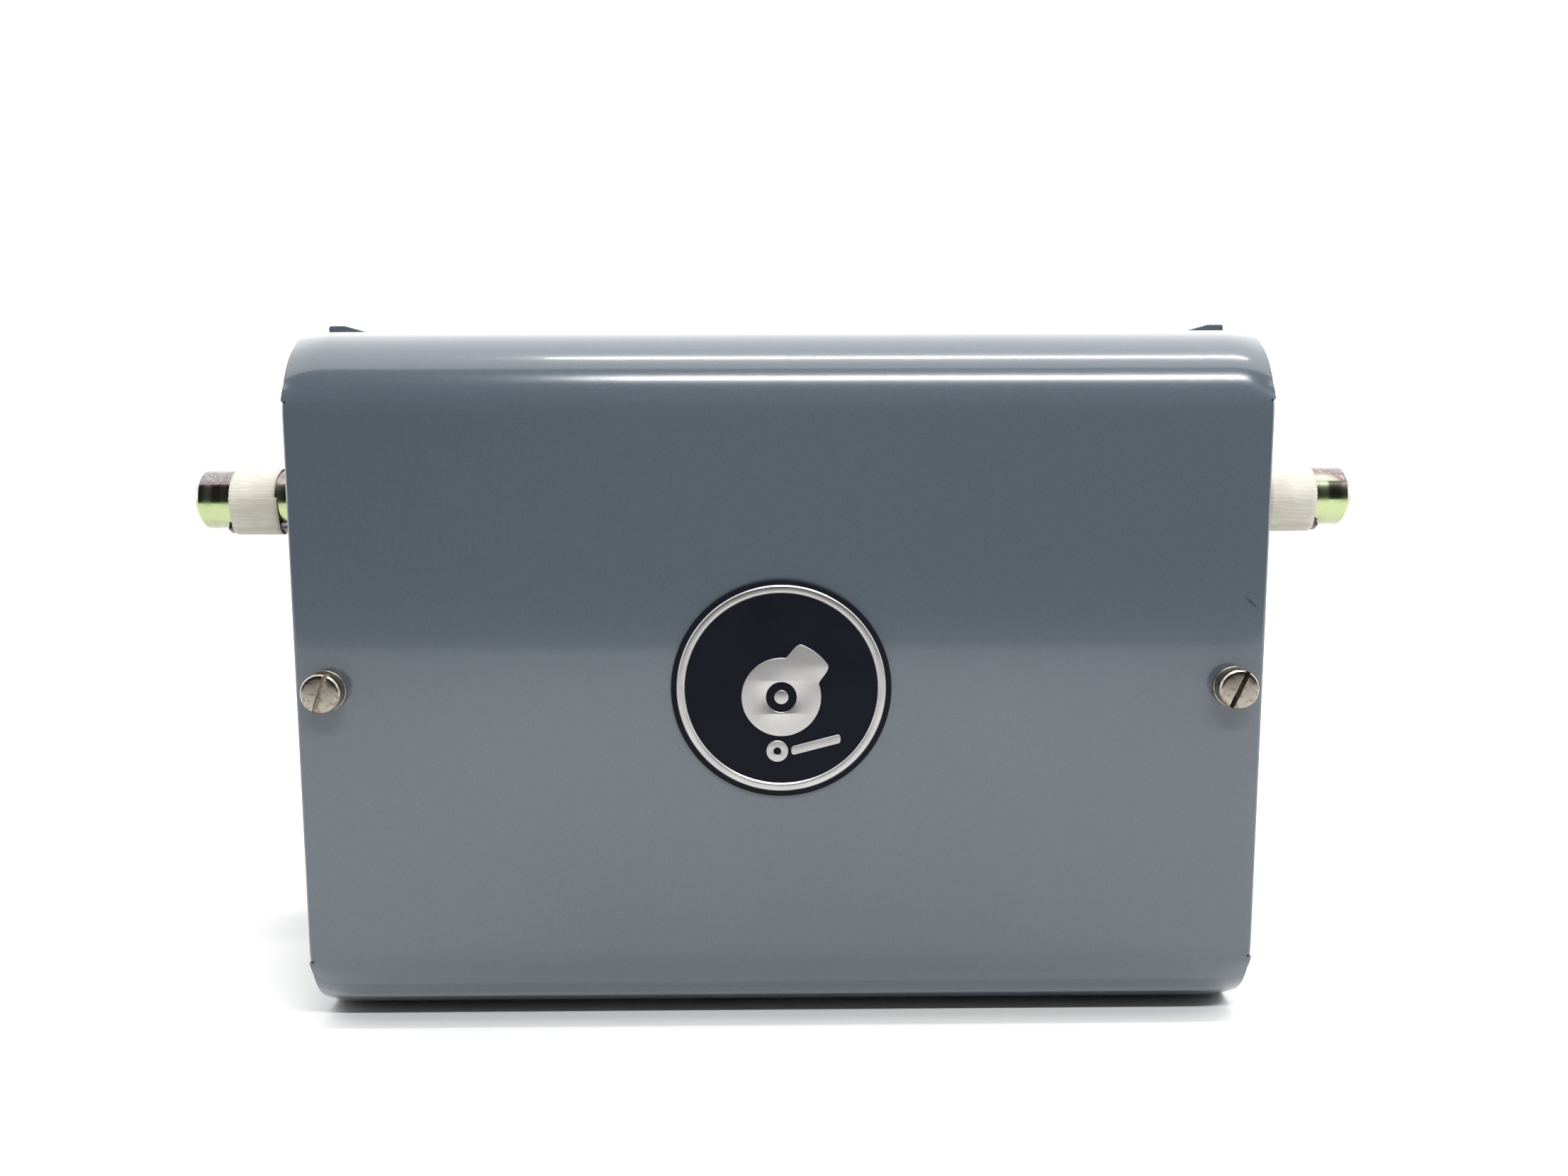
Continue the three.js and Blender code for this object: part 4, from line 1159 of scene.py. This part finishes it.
@dataclass
class CoverScrew:
    """A slotted cheese-head screw with its washer and the retainer that keeps it in the cover."""

    name: str
    side: int
    slot_angle: float
    x: float = 107.0
    z: float = 84.5
    face: float = -50.8
    inside: float = -49.2
    head: float = 4.7
    height: float = 3.7
    shank: float = 2.4
    length: float = 13.0

    def screw(self) -> bpy.types.Object:
        """Makes the screw: a rounded rim, a slot and a threaded end."""
        at = (self.side * self.x, self.face - 1.0, self.z)
        tip, neck = -self.length, -4.2
        section = [(0, tip), (1.9, tip), (self.shank, tip + 0.6), *threaded(self.shank, tip + 0.7, neck),
                   (self.shank, neck), (self.shank, 0.0), (3.7, 0.0), (4.05, 0.25), (4.05, 0.75), (self.head, 1.15),
                   (self.head, self.height - 0.6), (self.head - 0.35, self.height - 0.12),
                   (self.head - 0.9, self.height), (0, self.height)]
        piece = turned(f"{self.name}_slotted_screw", section, Axis.Y, at, 80, 0.12, -self.slot_angle)
        groove = plate("slot", rectangle((-0.6, 0.6), (-6, 6)), (-self.height + 1.8, -self.height - 1), Axis.Y, bevel=0,
                       at=at, turn=-self.slot_angle)
        return cut(piece, groove)

    def ring(self, name: str, outer: float, start: float, thick: float) -> bpy.types.Object:
        """Makes a flat ring round the shank, drawn from start towards the front."""
        section = [(2.5, 0.0), (outer, 0.0), (outer, thick), (2.5, thick)]
        return turned(name, section, Axis.Y, (self.side * self.x, start, self.z), 64, 0.22)

    def build(self) -> None:
        """Makes and dresses the screw and its rings."""
        stand_in(self.screw(), f"{self.name}_cover_screw", NICKEL, Slot.NICKEL)
        washer = self.ring(f"{self.name}_plain_washer", 4.9, self.face - 0.1, 0.8)
        stand_in(washer, f"{self.name}_screw_washer", NICKEL, Slot.NICKEL)
        keeper = self.ring(f"{self.name}_push_retainer", 4.2, self.inside + 0.8, 0.7)
        stand_in(keeper, f"{self.name}_screw_retainer", BLACK, Slot.MOULDING)


@dataclass
class Badge:
    """The round plate with a raised rim and a raised pictogram of a cam and its follower."""

    z: float = 84.5
    base: float = -50.9
    radius: float = 26.0
    thick: float = 0.7
    relief: float = 0.4
    rim_outer: float = 24.7
    rim_width: float = 2.0
    cam: float = 9.4
    rise: float = 4.0
    lobe_at: float = 52.0
    cam_drop: float = 1.9

    def disc(self) -> bpy.types.Object:
        """Makes the dark plate with a rolled-over edge."""
        edge = self.radius
        section = [(0, 0.0), (edge, 0.0), (edge, self.thick - 0.25), (edge - 0.3, self.thick), (0, self.thick)]
        return turned("badge_disc", section, Axis.Y, (0, self.base, self.z), 128, 0.12)

    def rim(self) -> bpy.types.Object:
        """Makes the raised rim with sloping flanks."""
        outer, inner = self.rim_outer, self.rim_outer - self.rim_width
        foot, top = self.thick - 0.05, self.thick + self.relief
        section = [(inner - 0.1, foot), (inner + 0.3, top - 0.04), (inner + 0.75, top), (outer - 0.75, top),
                   (outer - 0.3, top - 0.04), (outer + 0.1, foot)]
        return turned("badge_rim", section, Axis.Y, (0, self.base, self.z), 128, 0.1)

    def raised(self, name: str, outline: Sequence[Point], holes: Sequence[Sequence[Point]] = ()) -> bpy.types.Object:
        """Makes a raised figure on the plate from an outline about the cam's middle."""
        face = self.base - self.thick
        at = (0, 0, self.z - self.cam_drop)
        return plate(name, outline, (face - self.relief, face + 0.02), Axis.Y, holes, 0.16, at)

    def build(self) -> None:
        """Makes and dresses the badge."""
        stand_in(self.disc(), "badge_plate", BADGE_DARK, Slot.BADGE_DARK)
        extra(self.rim(), "badge_plate", BADGE_SILVER)
        wheel = cam_outline(self.cam, self.rise, self.lobe_at, 34.0, 16.0)
        emblem = self.raised("badge_cam", wheel, [circle(3.6, (0, 0), 48)])
        stand_in(emblem, "badge_emblem", BADGE_SILVER, Slot.BADGE_SILVER)
        hub = self.raised("badge_hub", circle(1.7, (0, 0), 32))
        extra(hub, "badge_plate", BADGE_SILVER)
        reach = self.cam + 3.6
        follower = self.raised("badge_follower", circle(2.6, (-1.0, -reach), 40), [circle(0.9, (-1.0, -reach), 24)])
        extra(follower, "badge_plate", BADGE_SILVER)
        arm = soften([(2.3, -reach - 1.1), (14.0, -reach + 1.9), (14.0, -reach + 4.1), (2.3, -reach + 1.1)], 0.8, 4)
        extra(self.raised("badge_arm", arm), "badge_plate", BADGE_SILVER)


# ---------------------------------------------------------------- shaft


def cam_outline(base: float, rise: float, centre: float, lobe: float, ramp: float) -> list[Point]:
    """Gives the outline of a cam with one lobe.

    Args:
        base: Radius away from the lobe.
        rise: Height of the lobe.
        centre: Angle of the lobe's middle, in degrees.
        lobe: Degrees at full height.
        ramp: Degrees of each ramp.

    Returns:
        The outline, with its corners eased.
    """
    start, end = centre - lobe / 2, centre + lobe / 2
    steps = 8

    def flank(first: float, way: int) -> list[Point]:
        """Gives a ramp's inner points from its first angle, down for 1 and up for -1."""
        found: list[Point] = []
        for k in range(1, steps):
            share = k / steps
            reach = base + rise * (1 + way * math.cos(math.pi * share)) / 2
            a = math.radians(first + ramp * share)
            found.append((reach * math.cos(a), reach * math.sin(a)))
        return found

    lobe_top = arc((0, 0), base + rise, start, end, 12)
    round_part = arc((0, 0), base, end + ramp, start - ramp + 360, 72)
    return lobe_top + flank(end, 1) + round_part + flank(start - ramp, -1)


@dataclass
class Shaft:
    """The through shaft with its keys, thrust collars and the tape that holds the keys."""

    z: float = 127.0
    shift: float = -1.0
    radius: float = 7.9375
    half: float = 154.5
    chamfer: float = 1.2
    key_width: float = 3.175
    key_length: float = 15.7
    key_rise: float = 1.6
    key_sink: float = 2.4
    key_corner: float = 2.16
    key_inset: float = 8.0
    key_turn: float = 150.0

    def rod(self) -> bpy.types.Object:
        """Makes the rod with chamfered ends, centre holes and key seats."""
        half, radius = self.half, self.radius
        section = [(0, -half + 2.6), (1.1, -half + 1.4), (2.4, -half), (radius - self.chamfer, -half),
                   (radius, -half + self.chamfer), (radius, half - self.chamfer), (radius - self.chamfer, half),
                   (2.4, half), (1.1, half - 1.4), (0, half - 2.6)]
        rod = turned("through_shaft", section, Axis.X, (self.shift, 0, self.z), 120, 0.22)
        return cut(rod, *(self.key(f"seat_{side}", side, 0.1, 0.0) for side in (-1, 1)))

    def key(self, name: str, side: int, gap: float, bevel: float) -> bpy.types.Object:
        """Makes a key with rounded inner corners, or a cutter for its seat.

        Args:
            name: Name of the piece.
            side: -1 for the left end, 1 for the right.
            gap: How much larger than the key itself.
            bevel: Rounding of its edges.

        Returns:
            The object.
        """
        top = self.radius + self.key_rise + gap
        bottom = self.radius - self.key_sink - gap
        half, corner = self.key_length / 2 + gap, self.key_corner
        outline = [(-half, top), (-half, bottom + corner)] + arc((-half + corner, bottom + corner), corner, 180, 270, 6)
        outline += arc((half - corner, bottom + corner), corner, 270, 360, 6) + [(half, top)]
        middle = self.shift + side * (self.half - self.key_inset - self.key_length / 2)
        thick = (-self.key_width / 2 - gap, self.key_width / 2 + gap)
        piece = plate(name, outline, thick, Axis.Y, bevel=bevel)
        turn = Matrix.Rotation(math.radians(self.key_turn), 4, "X")
        piece.matrix_world = Matrix.Translation(Vector((middle, 0, self.z)) * MM) @ turn @ piece.matrix_world
        return piece

    def collar(self, name: str, side: int) -> bpy.types.Object:
        """Makes a thrust collar with a tapped hole for its set screw."""
        section = [(8.0, side * 99.9), (12.94, side * 99.9), (12.94, side * 107.9), (8.0, side * 107.9)]
        ring = turned(f"{name}_shaft_collar", section, Axis.X, (0, 0, self.z), 72, 0.5)
        hole = turned("hole", [(0, 9.0), (2.5, 9.0), (2.5, 14), (0, 14)], Axis.Y, (side * 103.9, 0, self.z), 24, 0)
        return cut(ring, hole)

    def set_screw(self, name: str, side: int) -> bpy.types.Object:
        """Makes a collar's hexagon-socket set screw."""
        at = (side * 103.9, 0, self.z)
        body = turned(f"{name}_collar_set_screw", [(0, 9.1), (2.3, 9.1), (2.3, 12.1), (0, 12.1)], Axis.Y, at, 32, 0.3)
        return cut(body, plate("socket", hexagon(2.4), (-10.4, -13), Axis.Y, bevel=0, at=at))

    def build(self) -> None:
        """Makes and dresses the shaft and what is fixed to it."""
        stand_in(self.rod(), "cam_shaft", SHAFT_ZINC, Slot.YELLOW_ZINC)
        for name, side in SIDES.items():
            key = self.key(f"{name}_round_key", side, 0.0, 0.3)
            stand_in(key, f"{name}_shaft_key", KEY_STEEL, Slot.YELLOW_ZINC)
            stand_in(self.collar(name, side), f"{name}_thrust_collar", ZINC, Slot.NICKEL)
            extra(self.set_screw(name, side), f"{name}_thrust_collar", KEY_STEEL)
            KeyTape(name, side).build()


@dataclass
class KeyTape:
    """Paper tape wound nearly twice round the shaft and its key."""

    name: str
    side: int
    z: float = 127.0
    shaft_radius: float = 7.99
    key_top: float = 9.6
    key_half: float = 1.6
    key_at: float = 240.0
    thick: float = 0.15
    width: float = 12.7
    columns: int = 10
    step: float = 1.6
    drift: float = 1.5
    crease_height: float = 0.016

    def inner_edge(self) -> float:
        """Gives the tape's edge nearest the case, along X."""
        return -133.4 if self.side < 0 else 131.2

    def hull(self, angle: float, grow: float) -> float:
        """Gives how far out the tape lies at an angle over the shaft and its key.

        Args:
            angle: Direction from the axis, in degrees.
            grow: Height of this layer above the shaft.

        Returns:
            The distance from the axis.
        """
        base = self.shaft_radius + grow
        top, half = self.key_top + grow, self.key_half + 0.6 * grow
        off = abs((angle - self.key_at + 180) % 360 - 180)
        corner = math.hypot(top, half)
        lean = math.degrees(math.atan2(half, top))
        reach = math.degrees(math.acos(base / corner))
        if off <= lean:
            far = top / math.cos(math.radians(off))
        elif off <= lean + reach:
            far = base / math.cos(math.radians(lean + reach - off))
        else:
            far = base
        round_over = max(0.0, 1 - abs(off - lean) / 5.0)
        return far - 0.16 * round_over ** 2

    def crease(self, angle: float, along: float) -> float:
        """Gives the small rise of the crepe's ridges and of where the strip lifts."""
        phase = angle * 0.62
        ripple = math.sin(phase * 1.9 + 0.5 * math.sin(phase * 0.37 + along * 0.5))
        return self.crease_height * ripple * math.sin(phase * 0.53 + along * 0.21)

    def strip(self) -> bpy.types.Object:
        """Winds the strip and gives it its thickness."""
        end_at, length = (174.0, 650.0) if self.side < 0 else (62.0, 590.0)
        edge = self.inner_edge()
        shape = Shape()
        rings: list[list[int]] = []
        count = int(length / self.step)
        for i in range(count + 1):
            run = length * i / count
            angle = end_at + length - run
            layer = min(1.0, max(0.0, (run - 352) / 14))
            tail = 0.09 * max(0.0, 1 - (length - run) / 12) ** 2
            shift = self.drift * (1 - run / length) ** 1.4
            points = []
            for k in range(self.columns + 1):
                along = shift + (self.width - shift) * k / self.columns
                fray = 0.06 * math.sin(run * 0.9 + k) if k in (0, self.columns) else 0.0
                far = self.hull(angle, 0.03 + (self.thick + 0.035) * layer) + tail + self.crease(angle, along)
                turn = math.radians(angle)
                x = edge + self.side * (along + fray)
                points.append((x, far * math.cos(turn), self.z + far * math.sin(turn)))
            rings.append(shape.ring(points))
        for first, second in zip(rings, rings[1:]):
            shape.bridge(first, second, False)
        piece = place(shape.mesh(f"{self.name}_wound_tape"), f"{self.name}_wound_tape", Axis.Z, (0, 0, 0))
        middle = piece.data.polygons[len(piece.data.polygons) // 2]
        outward = middle.center - Vector((middle.center.x, 0, self.z * MM))
        if middle.normal.dot(outward) < 0:
            piece.data.flip_normals()
        for face in piece.data.polygons:
            face.use_smooth = True
        solid = piece.modifiers.new("paper", "SOLIDIFY")
        solid.thickness = self.thick * MM
        solid.offset = 1
        return piece

    def build(self) -> None:
        """Makes and dresses the tape."""
        stand_in(self.strip(), f"{self.name}_key_tape", TAPE, Slot.TAPE)


# ---------------------------------------------------------------- circuits


@dataclass
class Circuit:
    """One cam pair with its follower lever, roller, plunger and contact block."""

    number: int
    pitch: float = 40.0
    shaft_z: float = 127.0
    cam_base: float = 22.0
    cam_rise: float = 4.0
    bore: float = 8.04
    hub: float = 12.94
    lobe_arc: float = 34.0
    ramp_arc: float = 8.0
    first_lobe: float = 308.0
    slot_radius: float = 16.5
    slot_half_width: float = 1.6
    slot_half_arc: float = 22.0
    offset: float = 14.0
    lever_y: float = 28.0
    lever_z: float = 94.7
    roller: float = 6.0
    block_half: float = 16.0
    block_y: Span = (-12.0, 26.0)
    block_z: Span = (42.0, 86.0)
    plunger_y: float = 12.0
    plunger_z: Span = (74.0, 88.4)
    wire: float = 0.34
    coil: float = 1.75
    coil_turns: float = 4.5
    coil_steps: int = 150

    def middle(self) -> float:
        """Gives this circuit's place along the shaft."""
        return (self.number - 2.5) * self.pitch

    def lobe(self) -> float:
        """Gives the angle of the fixed cam's lobe."""
        return self.first_lobe + 90.0 * (self.number - 1)

    def cam_shape(self, centre: float) -> list[Point]:
        """Gives a cam plate's outline with its lobe at the given angle."""
        return cam_outline(self.cam_base, self.cam_rise, centre, self.lobe_arc, self.ramp_arc)

    def cams(self) -> None:
        """Makes the two cam plates with the screws that clamp them together."""
        at = (self.middle(), 0, self.shaft_z)
        shape = self.cam_shape(self.lobe())
        bore = circle(self.bore, (0, 0), 64)
        fixed = plate(f"cam_wheel_{self.number}", shape, (-3.95, -0.1), Axis.X, [bore], 0.35, at)
        section = [(self.bore, -13.95), (self.hub, -13.95), (self.hub, -3.4), (self.bore, -3.4)]
        fixed = join(fixed, turned("hub", section, Axis.X, at, 64, 0.45))
        socket_at = (at[0] - 9, 0, self.shaft_z)
        hole = turned("hole", [(0, 9.0), (2.1, 9.0), (2.1, 14), (0, 14)], Axis.Y, socket_at, 24, 0)
        stand_in(cut(fixed, hole), f"cam_{self.number}_fixed", STEEL, Slot.ZINC)
        section = [(0, 9.1), (1.95, 9.1), (1.95, 12.0), (0, 12.0)]
        grub = turned(f"cam_set_screw_{self.number}", section, Axis.Y, socket_at, 28, 0.25)
        grub = cut(grub, plate("socket", hexagon(2.0), (-10.4, -13), Axis.Y, bevel=0, at=socket_at))
        extra(grub, f"cam_{self.number}_fixed", KEY_STEEL)
        turned_shape = self.cam_shape(self.lobe() + self.offset)
        middles = {"a": self.lobe() + 90, "b": self.lobe() + 270}
        slots = []
        for middle in middles.values():
            start, end = middle - self.slot_half_arc, middle + self.slot_half_arc
            outer = arc((0, 0), self.slot_radius + self.slot_half_width, start, end, 14)
            inner = arc((0, 0), self.slot_radius - self.slot_half_width, end, start, 14)
            slots.append(soften(outer + inner, 1.0, 3))
        setting = plate(f"cam_ring_{self.number}", turned_shape, (0.1, 3.95), Axis.X, [bore, *slots], 0.35, at)
        stand_in(setting, f"cam_{self.number}_setting", STEEL, Slot.ZINC)
        for mark, middle in middles.items():
            a = math.radians(middle)
            spot = (at[0], self.slot_radius * math.cos(a), self.shaft_z + self.slot_radius * math.sin(a))
            section = [(0, -4.6), (1.45, -4.6), (1.45, 4.0), (2.9, 4.0), (2.9, 5.1), (2.3, 5.8), (0, 5.8)]
            screw = turned(f"cam_clamp_{self.number}_{mark}", section, Axis.X, spot, 32, 0.25)
            groove = plate("slot", rectangle((-4, 4), (-0.4, 0.4)), (5.0, 6.5), Axis.X, bevel=0, at=spot, turn=35)
            extra(cut(screw, groove), f"cam_{self.number}_fixed", ZINC)

    def lever(self) -> None:
        """Makes the follower lever and its roller."""
        x = self.middle()
        nose, boss, reach = 4.5, 6.0, self.lever_y
        outline = arc((reach, 0), boss, -90, 90, 14) + arc((0, 0), nose, 90, 270, 12) + [(9.0, -boss)]
        holes = [circle(3.1, (reach, 0), 28), circle(2.1, (0, 0), 24)]
        at = (x, 0, self.lever_z)
        piece = plate(f"follower_lever_{self.number}", soften(outline, 0.6, 2), (5.0, 7.0), Axis.X, holes, 0.3, at)
        other = plate("cheek", soften(outline, 0.6, 2), (-7.0, -5.0), Axis.X, holes, 0.3, at)
        web = soften(rectangle((-5.5, 5.5), (9.2, 23.5)), 0.4)
        floor = plate("web", web, (-6.0, -3.5), Axis.Z, bevel=0.3, at=at)
        sleeve = turned("sleeve", [(3.1, -5.4), (5.4, -5.4), (5.4, 5.4), (3.1, 5.4)], Axis.X,
                        (x, reach, self.lever_z), 40, 0)
        stand_in(join(piece, other, floor, sleeve), f"lever_{self.number}", STEEL, Slot.ZINC)
        section = [(0, -7.5), (1.7, -7.5), (2.0, -7.2), (2.0, -4.7), (3.4, -4.7), (3.4, -4.5), (5.2, -4.5),
                   (self.roller, -3.9), (self.roller, 3.9), (5.2, 4.5), (3.4, 4.5), (3.4, 4.7), (2.0, 4.7),
                   (2.0, 7.2), (1.7, 7.5), (0, 7.5)]
        wheel = turned(f"cam_roller_{self.number}", section, Axis.X, at, 64, 0.12)
        stand_in(wheel, f"roller_{self.number}", NICKEL, Slot.NICKEL)

    def plunger(self) -> None:
        """Makes the plunger and its coil spring."""
        x = self.middle()
        low, high = self.plunger_z
        section = [(0, low), (2.3, low), (2.5, low + 0.3), (2.5, high - 1.9), (2.1, high - 0.8), (1.2, high - 0.12),
                   (0, high)]
        pin = turned(f"push_pin_{self.number}", section, Axis.Z, (x, self.plunger_y, 0), 40, 0.2)
        stand_in(pin, f"plunger_{self.number}", NICKEL, Slot.NICKEL)
        lowest, highest = self.spring_span()
        shape = Shape()
        rings = []
        wire, coil, steps = self.wire, self.coil, self.coil_steps
        rise = highest - lowest - 2 * wire
        for i in range(steps + 1):
            share = i / steps
            angle = 2 * math.pi * self.coil_turns * share
            lift = min(1.0, max(0.0, (share - 0.1) / 0.8))
            centre = Vector((coil * math.cos(angle), coil * math.sin(angle), lowest + wire + rise * lift))
            out = Vector((math.cos(angle), math.sin(angle), 0))
            ring = [centre + out * wire * math.cos(t) + Vector((0, 0, wire * math.sin(t)))
                    for t in (2 * math.pi * k / 10 for k in range(10))]
            rings.append(shape.ring(ring))
        for first, second in zip(rings, rings[1:]):
            shape.bridge(first, second)
        shape.face(rings[0], True)
        shape.face(rings[-1], True)
        name = f"coil_spring_{self.number}"
        spring = place(shape.mesh(name), name, Axis.Z, (x, self.plunger_y, 0))
        stand_in(spring, f"plunger_spring_{self.number}", KEY_STEEL, Slot.NICKEL)

    def spring_span(self) -> Span:
        """Gives the spring's ends from its CAD node."""
        low, high = cad_box(f"plunger_spring_{self.number}")
        return low.z, high.z

    def block(self) -> None:
        """Makes the moulded contact block with barriers and terminals."""
        x = self.middle()
        half, (front, back), (bottom, top) = self.block_half, self.block_y, self.block_z
        step, shelf = front + 8, top - 16
        side = [(back, top), (step, top), (step, shelf), (front, shelf), (front, bottom), (back, bottom)]
        piece = plate(f"switch_block_{self.number}", soften(side, 0.8, 3), (-half, half), Axis.X, bevel=0.5,
                      at=(x, 0, 0))
        for k, foot in enumerate((-half, -1.0, half - 2)):
            fin = soften(rectangle((front, step + 1.5), (top - 24, top - 2)), 1.6, 4)
            piece = join(piece, plate(f"fin_{k}", fin, (foot, foot + 2), Axis.X, bevel=0.3, at=(x, 0, 0)))
        bore = turned("bore", [(0, 66.0), (2.6, 66.0), (2.6, 90.0), (0, 90.0)], Axis.Z, (x, self.plunger_y, 0), 32, 0)
        seam = plate("seam", rectangle((-20, 20), (bottom + 12.6, bottom + 13.0)), (front - 1, front + 0.35), Axis.Y,
                     bevel=0, at=(x, 0, 0))
        stand_in(cut(piece, bore, seam), f"contact_block_{self.number}", BLACK, Slot.MOULDING)
        for mark, side_x in (("left", -8.0), ("right", 8.0)):
            for level, (face, height) in (("upper", (step, top - 8)), ("lower", (front, bottom + 21))):
                self.terminal(f"{mark}_{level}", x + side_x, face, height)

    def terminal(self, mark: str, x: float, face: float, height: float) -> None:
        """Makes one terminal's clamp plate and its slotted screw."""
        node = f"contact_block_{self.number}"
        square = soften(rectangle((-3.9, 3.9), (-3.6, 3.6)), 0.9)
        pad = plate(f"clamp_{self.number}_{mark}", square, (face - 1.1, face + 0.02), Axis.Y, bevel=0.25,
                    at=(x, 0, height))
        extra(pad, node, BRASS)
        at = (x, face - 1.1, height)
        section = [(0, 0), (3.0, 0.0), (3.0, 1.0), (2.4, 1.8), (1.2, 2.05), (0, 2.1)]
        head = turned(f"clamp_screw_{self.number}_{mark}", section, Axis.Y, at, 36, 0.2)
        angle = 35 + 47 * self.number + 61 * len(mark)
        groove = plate("slot", rectangle((-0.45, 0.45), (-4, 4)), (-1.1, -3), Axis.Y, bevel=0, at=at, turn=angle)
        extra(cut(head, groove), node, NICKEL)

    def build(self) -> None:
        """Makes and dresses the circuit."""
        self.cams()
        self.lever()
        self.plunger()
        self.block()


@dataclass
class CircuitCarriers:
    """The rod that the levers turn on and the channel that carries the contact blocks."""

    rod_y: float = 28.0
    rod_z: float = 94.7
    rod_half: float = 113.8
    rail_half: float = 97.2
    rail_y: Span = (26.1, 47.7)
    rail_z: Span = (47.0, 81.0)
    sheet: float = 2.0

    def build(self) -> None:
        """Makes and dresses both."""
        half = self.rod_half
        section = [(0, -half), (2.5, -half), (3.0, -half + 0.5), (3.0, half - 0.5), (2.5, half), (0, half)]
        rod = turned("lever_rod", section, Axis.X, (0, self.rod_y, self.rod_z), 40, 0.1)
        stand_in(rod, "lever_pivot_rod", ZINC, Slot.NICKEL)
        (front, back), (bottom, top), sheet = self.rail_y, self.rail_z, self.sheet
        outline = [(front, bottom), (back, bottom), (back, bottom + sheet), (front + sheet, bottom + sheet),
                   (front + sheet, top - sheet), (back, top - sheet), (back, top), (front, top)]
        rail = plate("block_rail", soften(outline, 0.7, 3), (-self.rail_half, self.rail_half), Axis.X, bevel=0.3)
        stand_in(rail, "contact_rail", ZINC, Slot.NICKEL)


# ---------------------------------------------------------------- studio


@dataclass
class Studio:
    """Pale floor, white surroundings, a dark card behind the camera, two strip lights and the camera."""

    lens: float = 28.165
    eye: tuple[float, float, float] = (-2.24, -335.45, 143.23)
    turn: tuple[float, float, float] = (83.018, 0.163, -0.6136)
    card_y: float = -0.61
    card_top: float = 1.5
    card_half: float = 1.5
    world: float = 2.2
    floor_half: float = 4000.0
    floor_grey: Colour = (0.66, 0.66, 0.66)
    card_grey: Colour = (0.012, 0.012, 0.013)
    upper_strip: tuple[float, float, float] = (0.24, -0.145, 1.36)
    front_strip: tuple[float, float, float] = (0.25, -0.77, 1.11)
    strip_width: float = 0.04

    def floor(self) -> None:
        """Lays the floor."""
        shape = Shape()
        half = self.floor_half
        shape.face(shape.ring([(*corner, -0.02) for corner in rectangle((-half, half), (-half, half))]))
        floor = place(shape.mesh("studio_floor"), "studio_floor", Axis.Z, (0, 0, 0))
        surface = Surface("floor_white")
        surface.put(Base_Color=self.floor_grey, Roughness=0.9, Specular_IOR_Level=0.1)
        floor.data.materials.append(surface.material)

    def card(self) -> None:
        """Stands the dark card where only the reflections see it."""
        shape = Shape()
        y, top, half = self.card_y / MM, self.card_top / MM, self.card_half / MM
        shape.face(shape.ring([(-half, y, 1.0), (half, y, 1.0), (half, y, top), (-half, y, top)]))
        card = place(shape.mesh("dark_card"), "dark_card", Axis.Z, (0, 0, 0))
        surface = Surface("card_black")
        surface.put(Base_Color=self.card_grey, Roughness=1.0, Specular_IOR_Level=0.0)
        card.data.materials.append(surface.material)
        card.visible_camera = False
        card.visible_shadow = False

    def strip(self, name: str, at: Sequence[float], length: float, power: float) -> None:
        """Hangs a strip light along X that points at the object."""
        data = bpy.data.lights.new(name, "AREA")
        data.shape = "RECTANGLE"
        data.size = length
        data.size_y = self.strip_width
        data.energy = power
        lamp = bpy.data.objects.new(name, data)
        bpy.context.scene.collection.objects.link(lamp)
        lamp.location = at
        lamp.visible_camera = False
        aim = Vector((at[0], 0.0, 0.1)) - Vector(at)
        lamp.rotation_euler = aim.to_track_quat("-Z", "Y").to_euler()

    def camera(self) -> None:
        """Places the camera."""
        data = bpy.data.cameras.new("main_camera")
        data.sensor_width = 36.0
        data.lens = self.lens
        data.clip_start = 0.01
        data.clip_end = 50.0
        eye = bpy.data.objects.new("main_camera", data)
        bpy.context.scene.collection.objects.link(eye)
        eye.location = Vector(self.eye) * MM
        eye.rotation_euler = Euler([math.radians(value) for value in self.turn])
        bpy.context.scene.camera = eye

    def sky(self) -> None:
        """Fills the surroundings with even white."""
        world = bpy.data.worlds.new("white_surroundings")
        world.use_nodes = True
        shade = world.node_tree.nodes["Background"]
        shade.inputs["Color"].default_value = (1.0, 1.0, 1.0, 1.0)
        shade.inputs["Strength"].default_value = self.world
        bpy.context.scene.world = world

    def build(self) -> None:
        """Sets up the whole studio."""
        bpy.context.scene.view_settings.view_transform = "Standard"
        self.sky()
        self.floor()
        self.card()
        self.strip("upper_strip", self.upper_strip, 1.02, 7.0)
        self.strip("front_strip", self.front_strip, 0.95, 16.0)
        self.camera()


def main() -> None:
    """Builds the object and its studio."""
    logging.basicConfig(level=logging.INFO, format="%(message)s")
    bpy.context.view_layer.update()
    Cover().build()
    BackPlate().build()
    for name, side in SIDES.items():
        EndPlate(name, side).build()
        CoverScrew(name, side, 19.0 if side < 0 else 24.0).build()
    Badge().build()
    Shaft().build()
    for number in range(1, CIRCUITS + 1):
        Circuit(number).build()
    CircuitCarriers().build()
    Studio().build()
    bpy.context.view_layer.update()


if __name__ == "__main__":
    main()
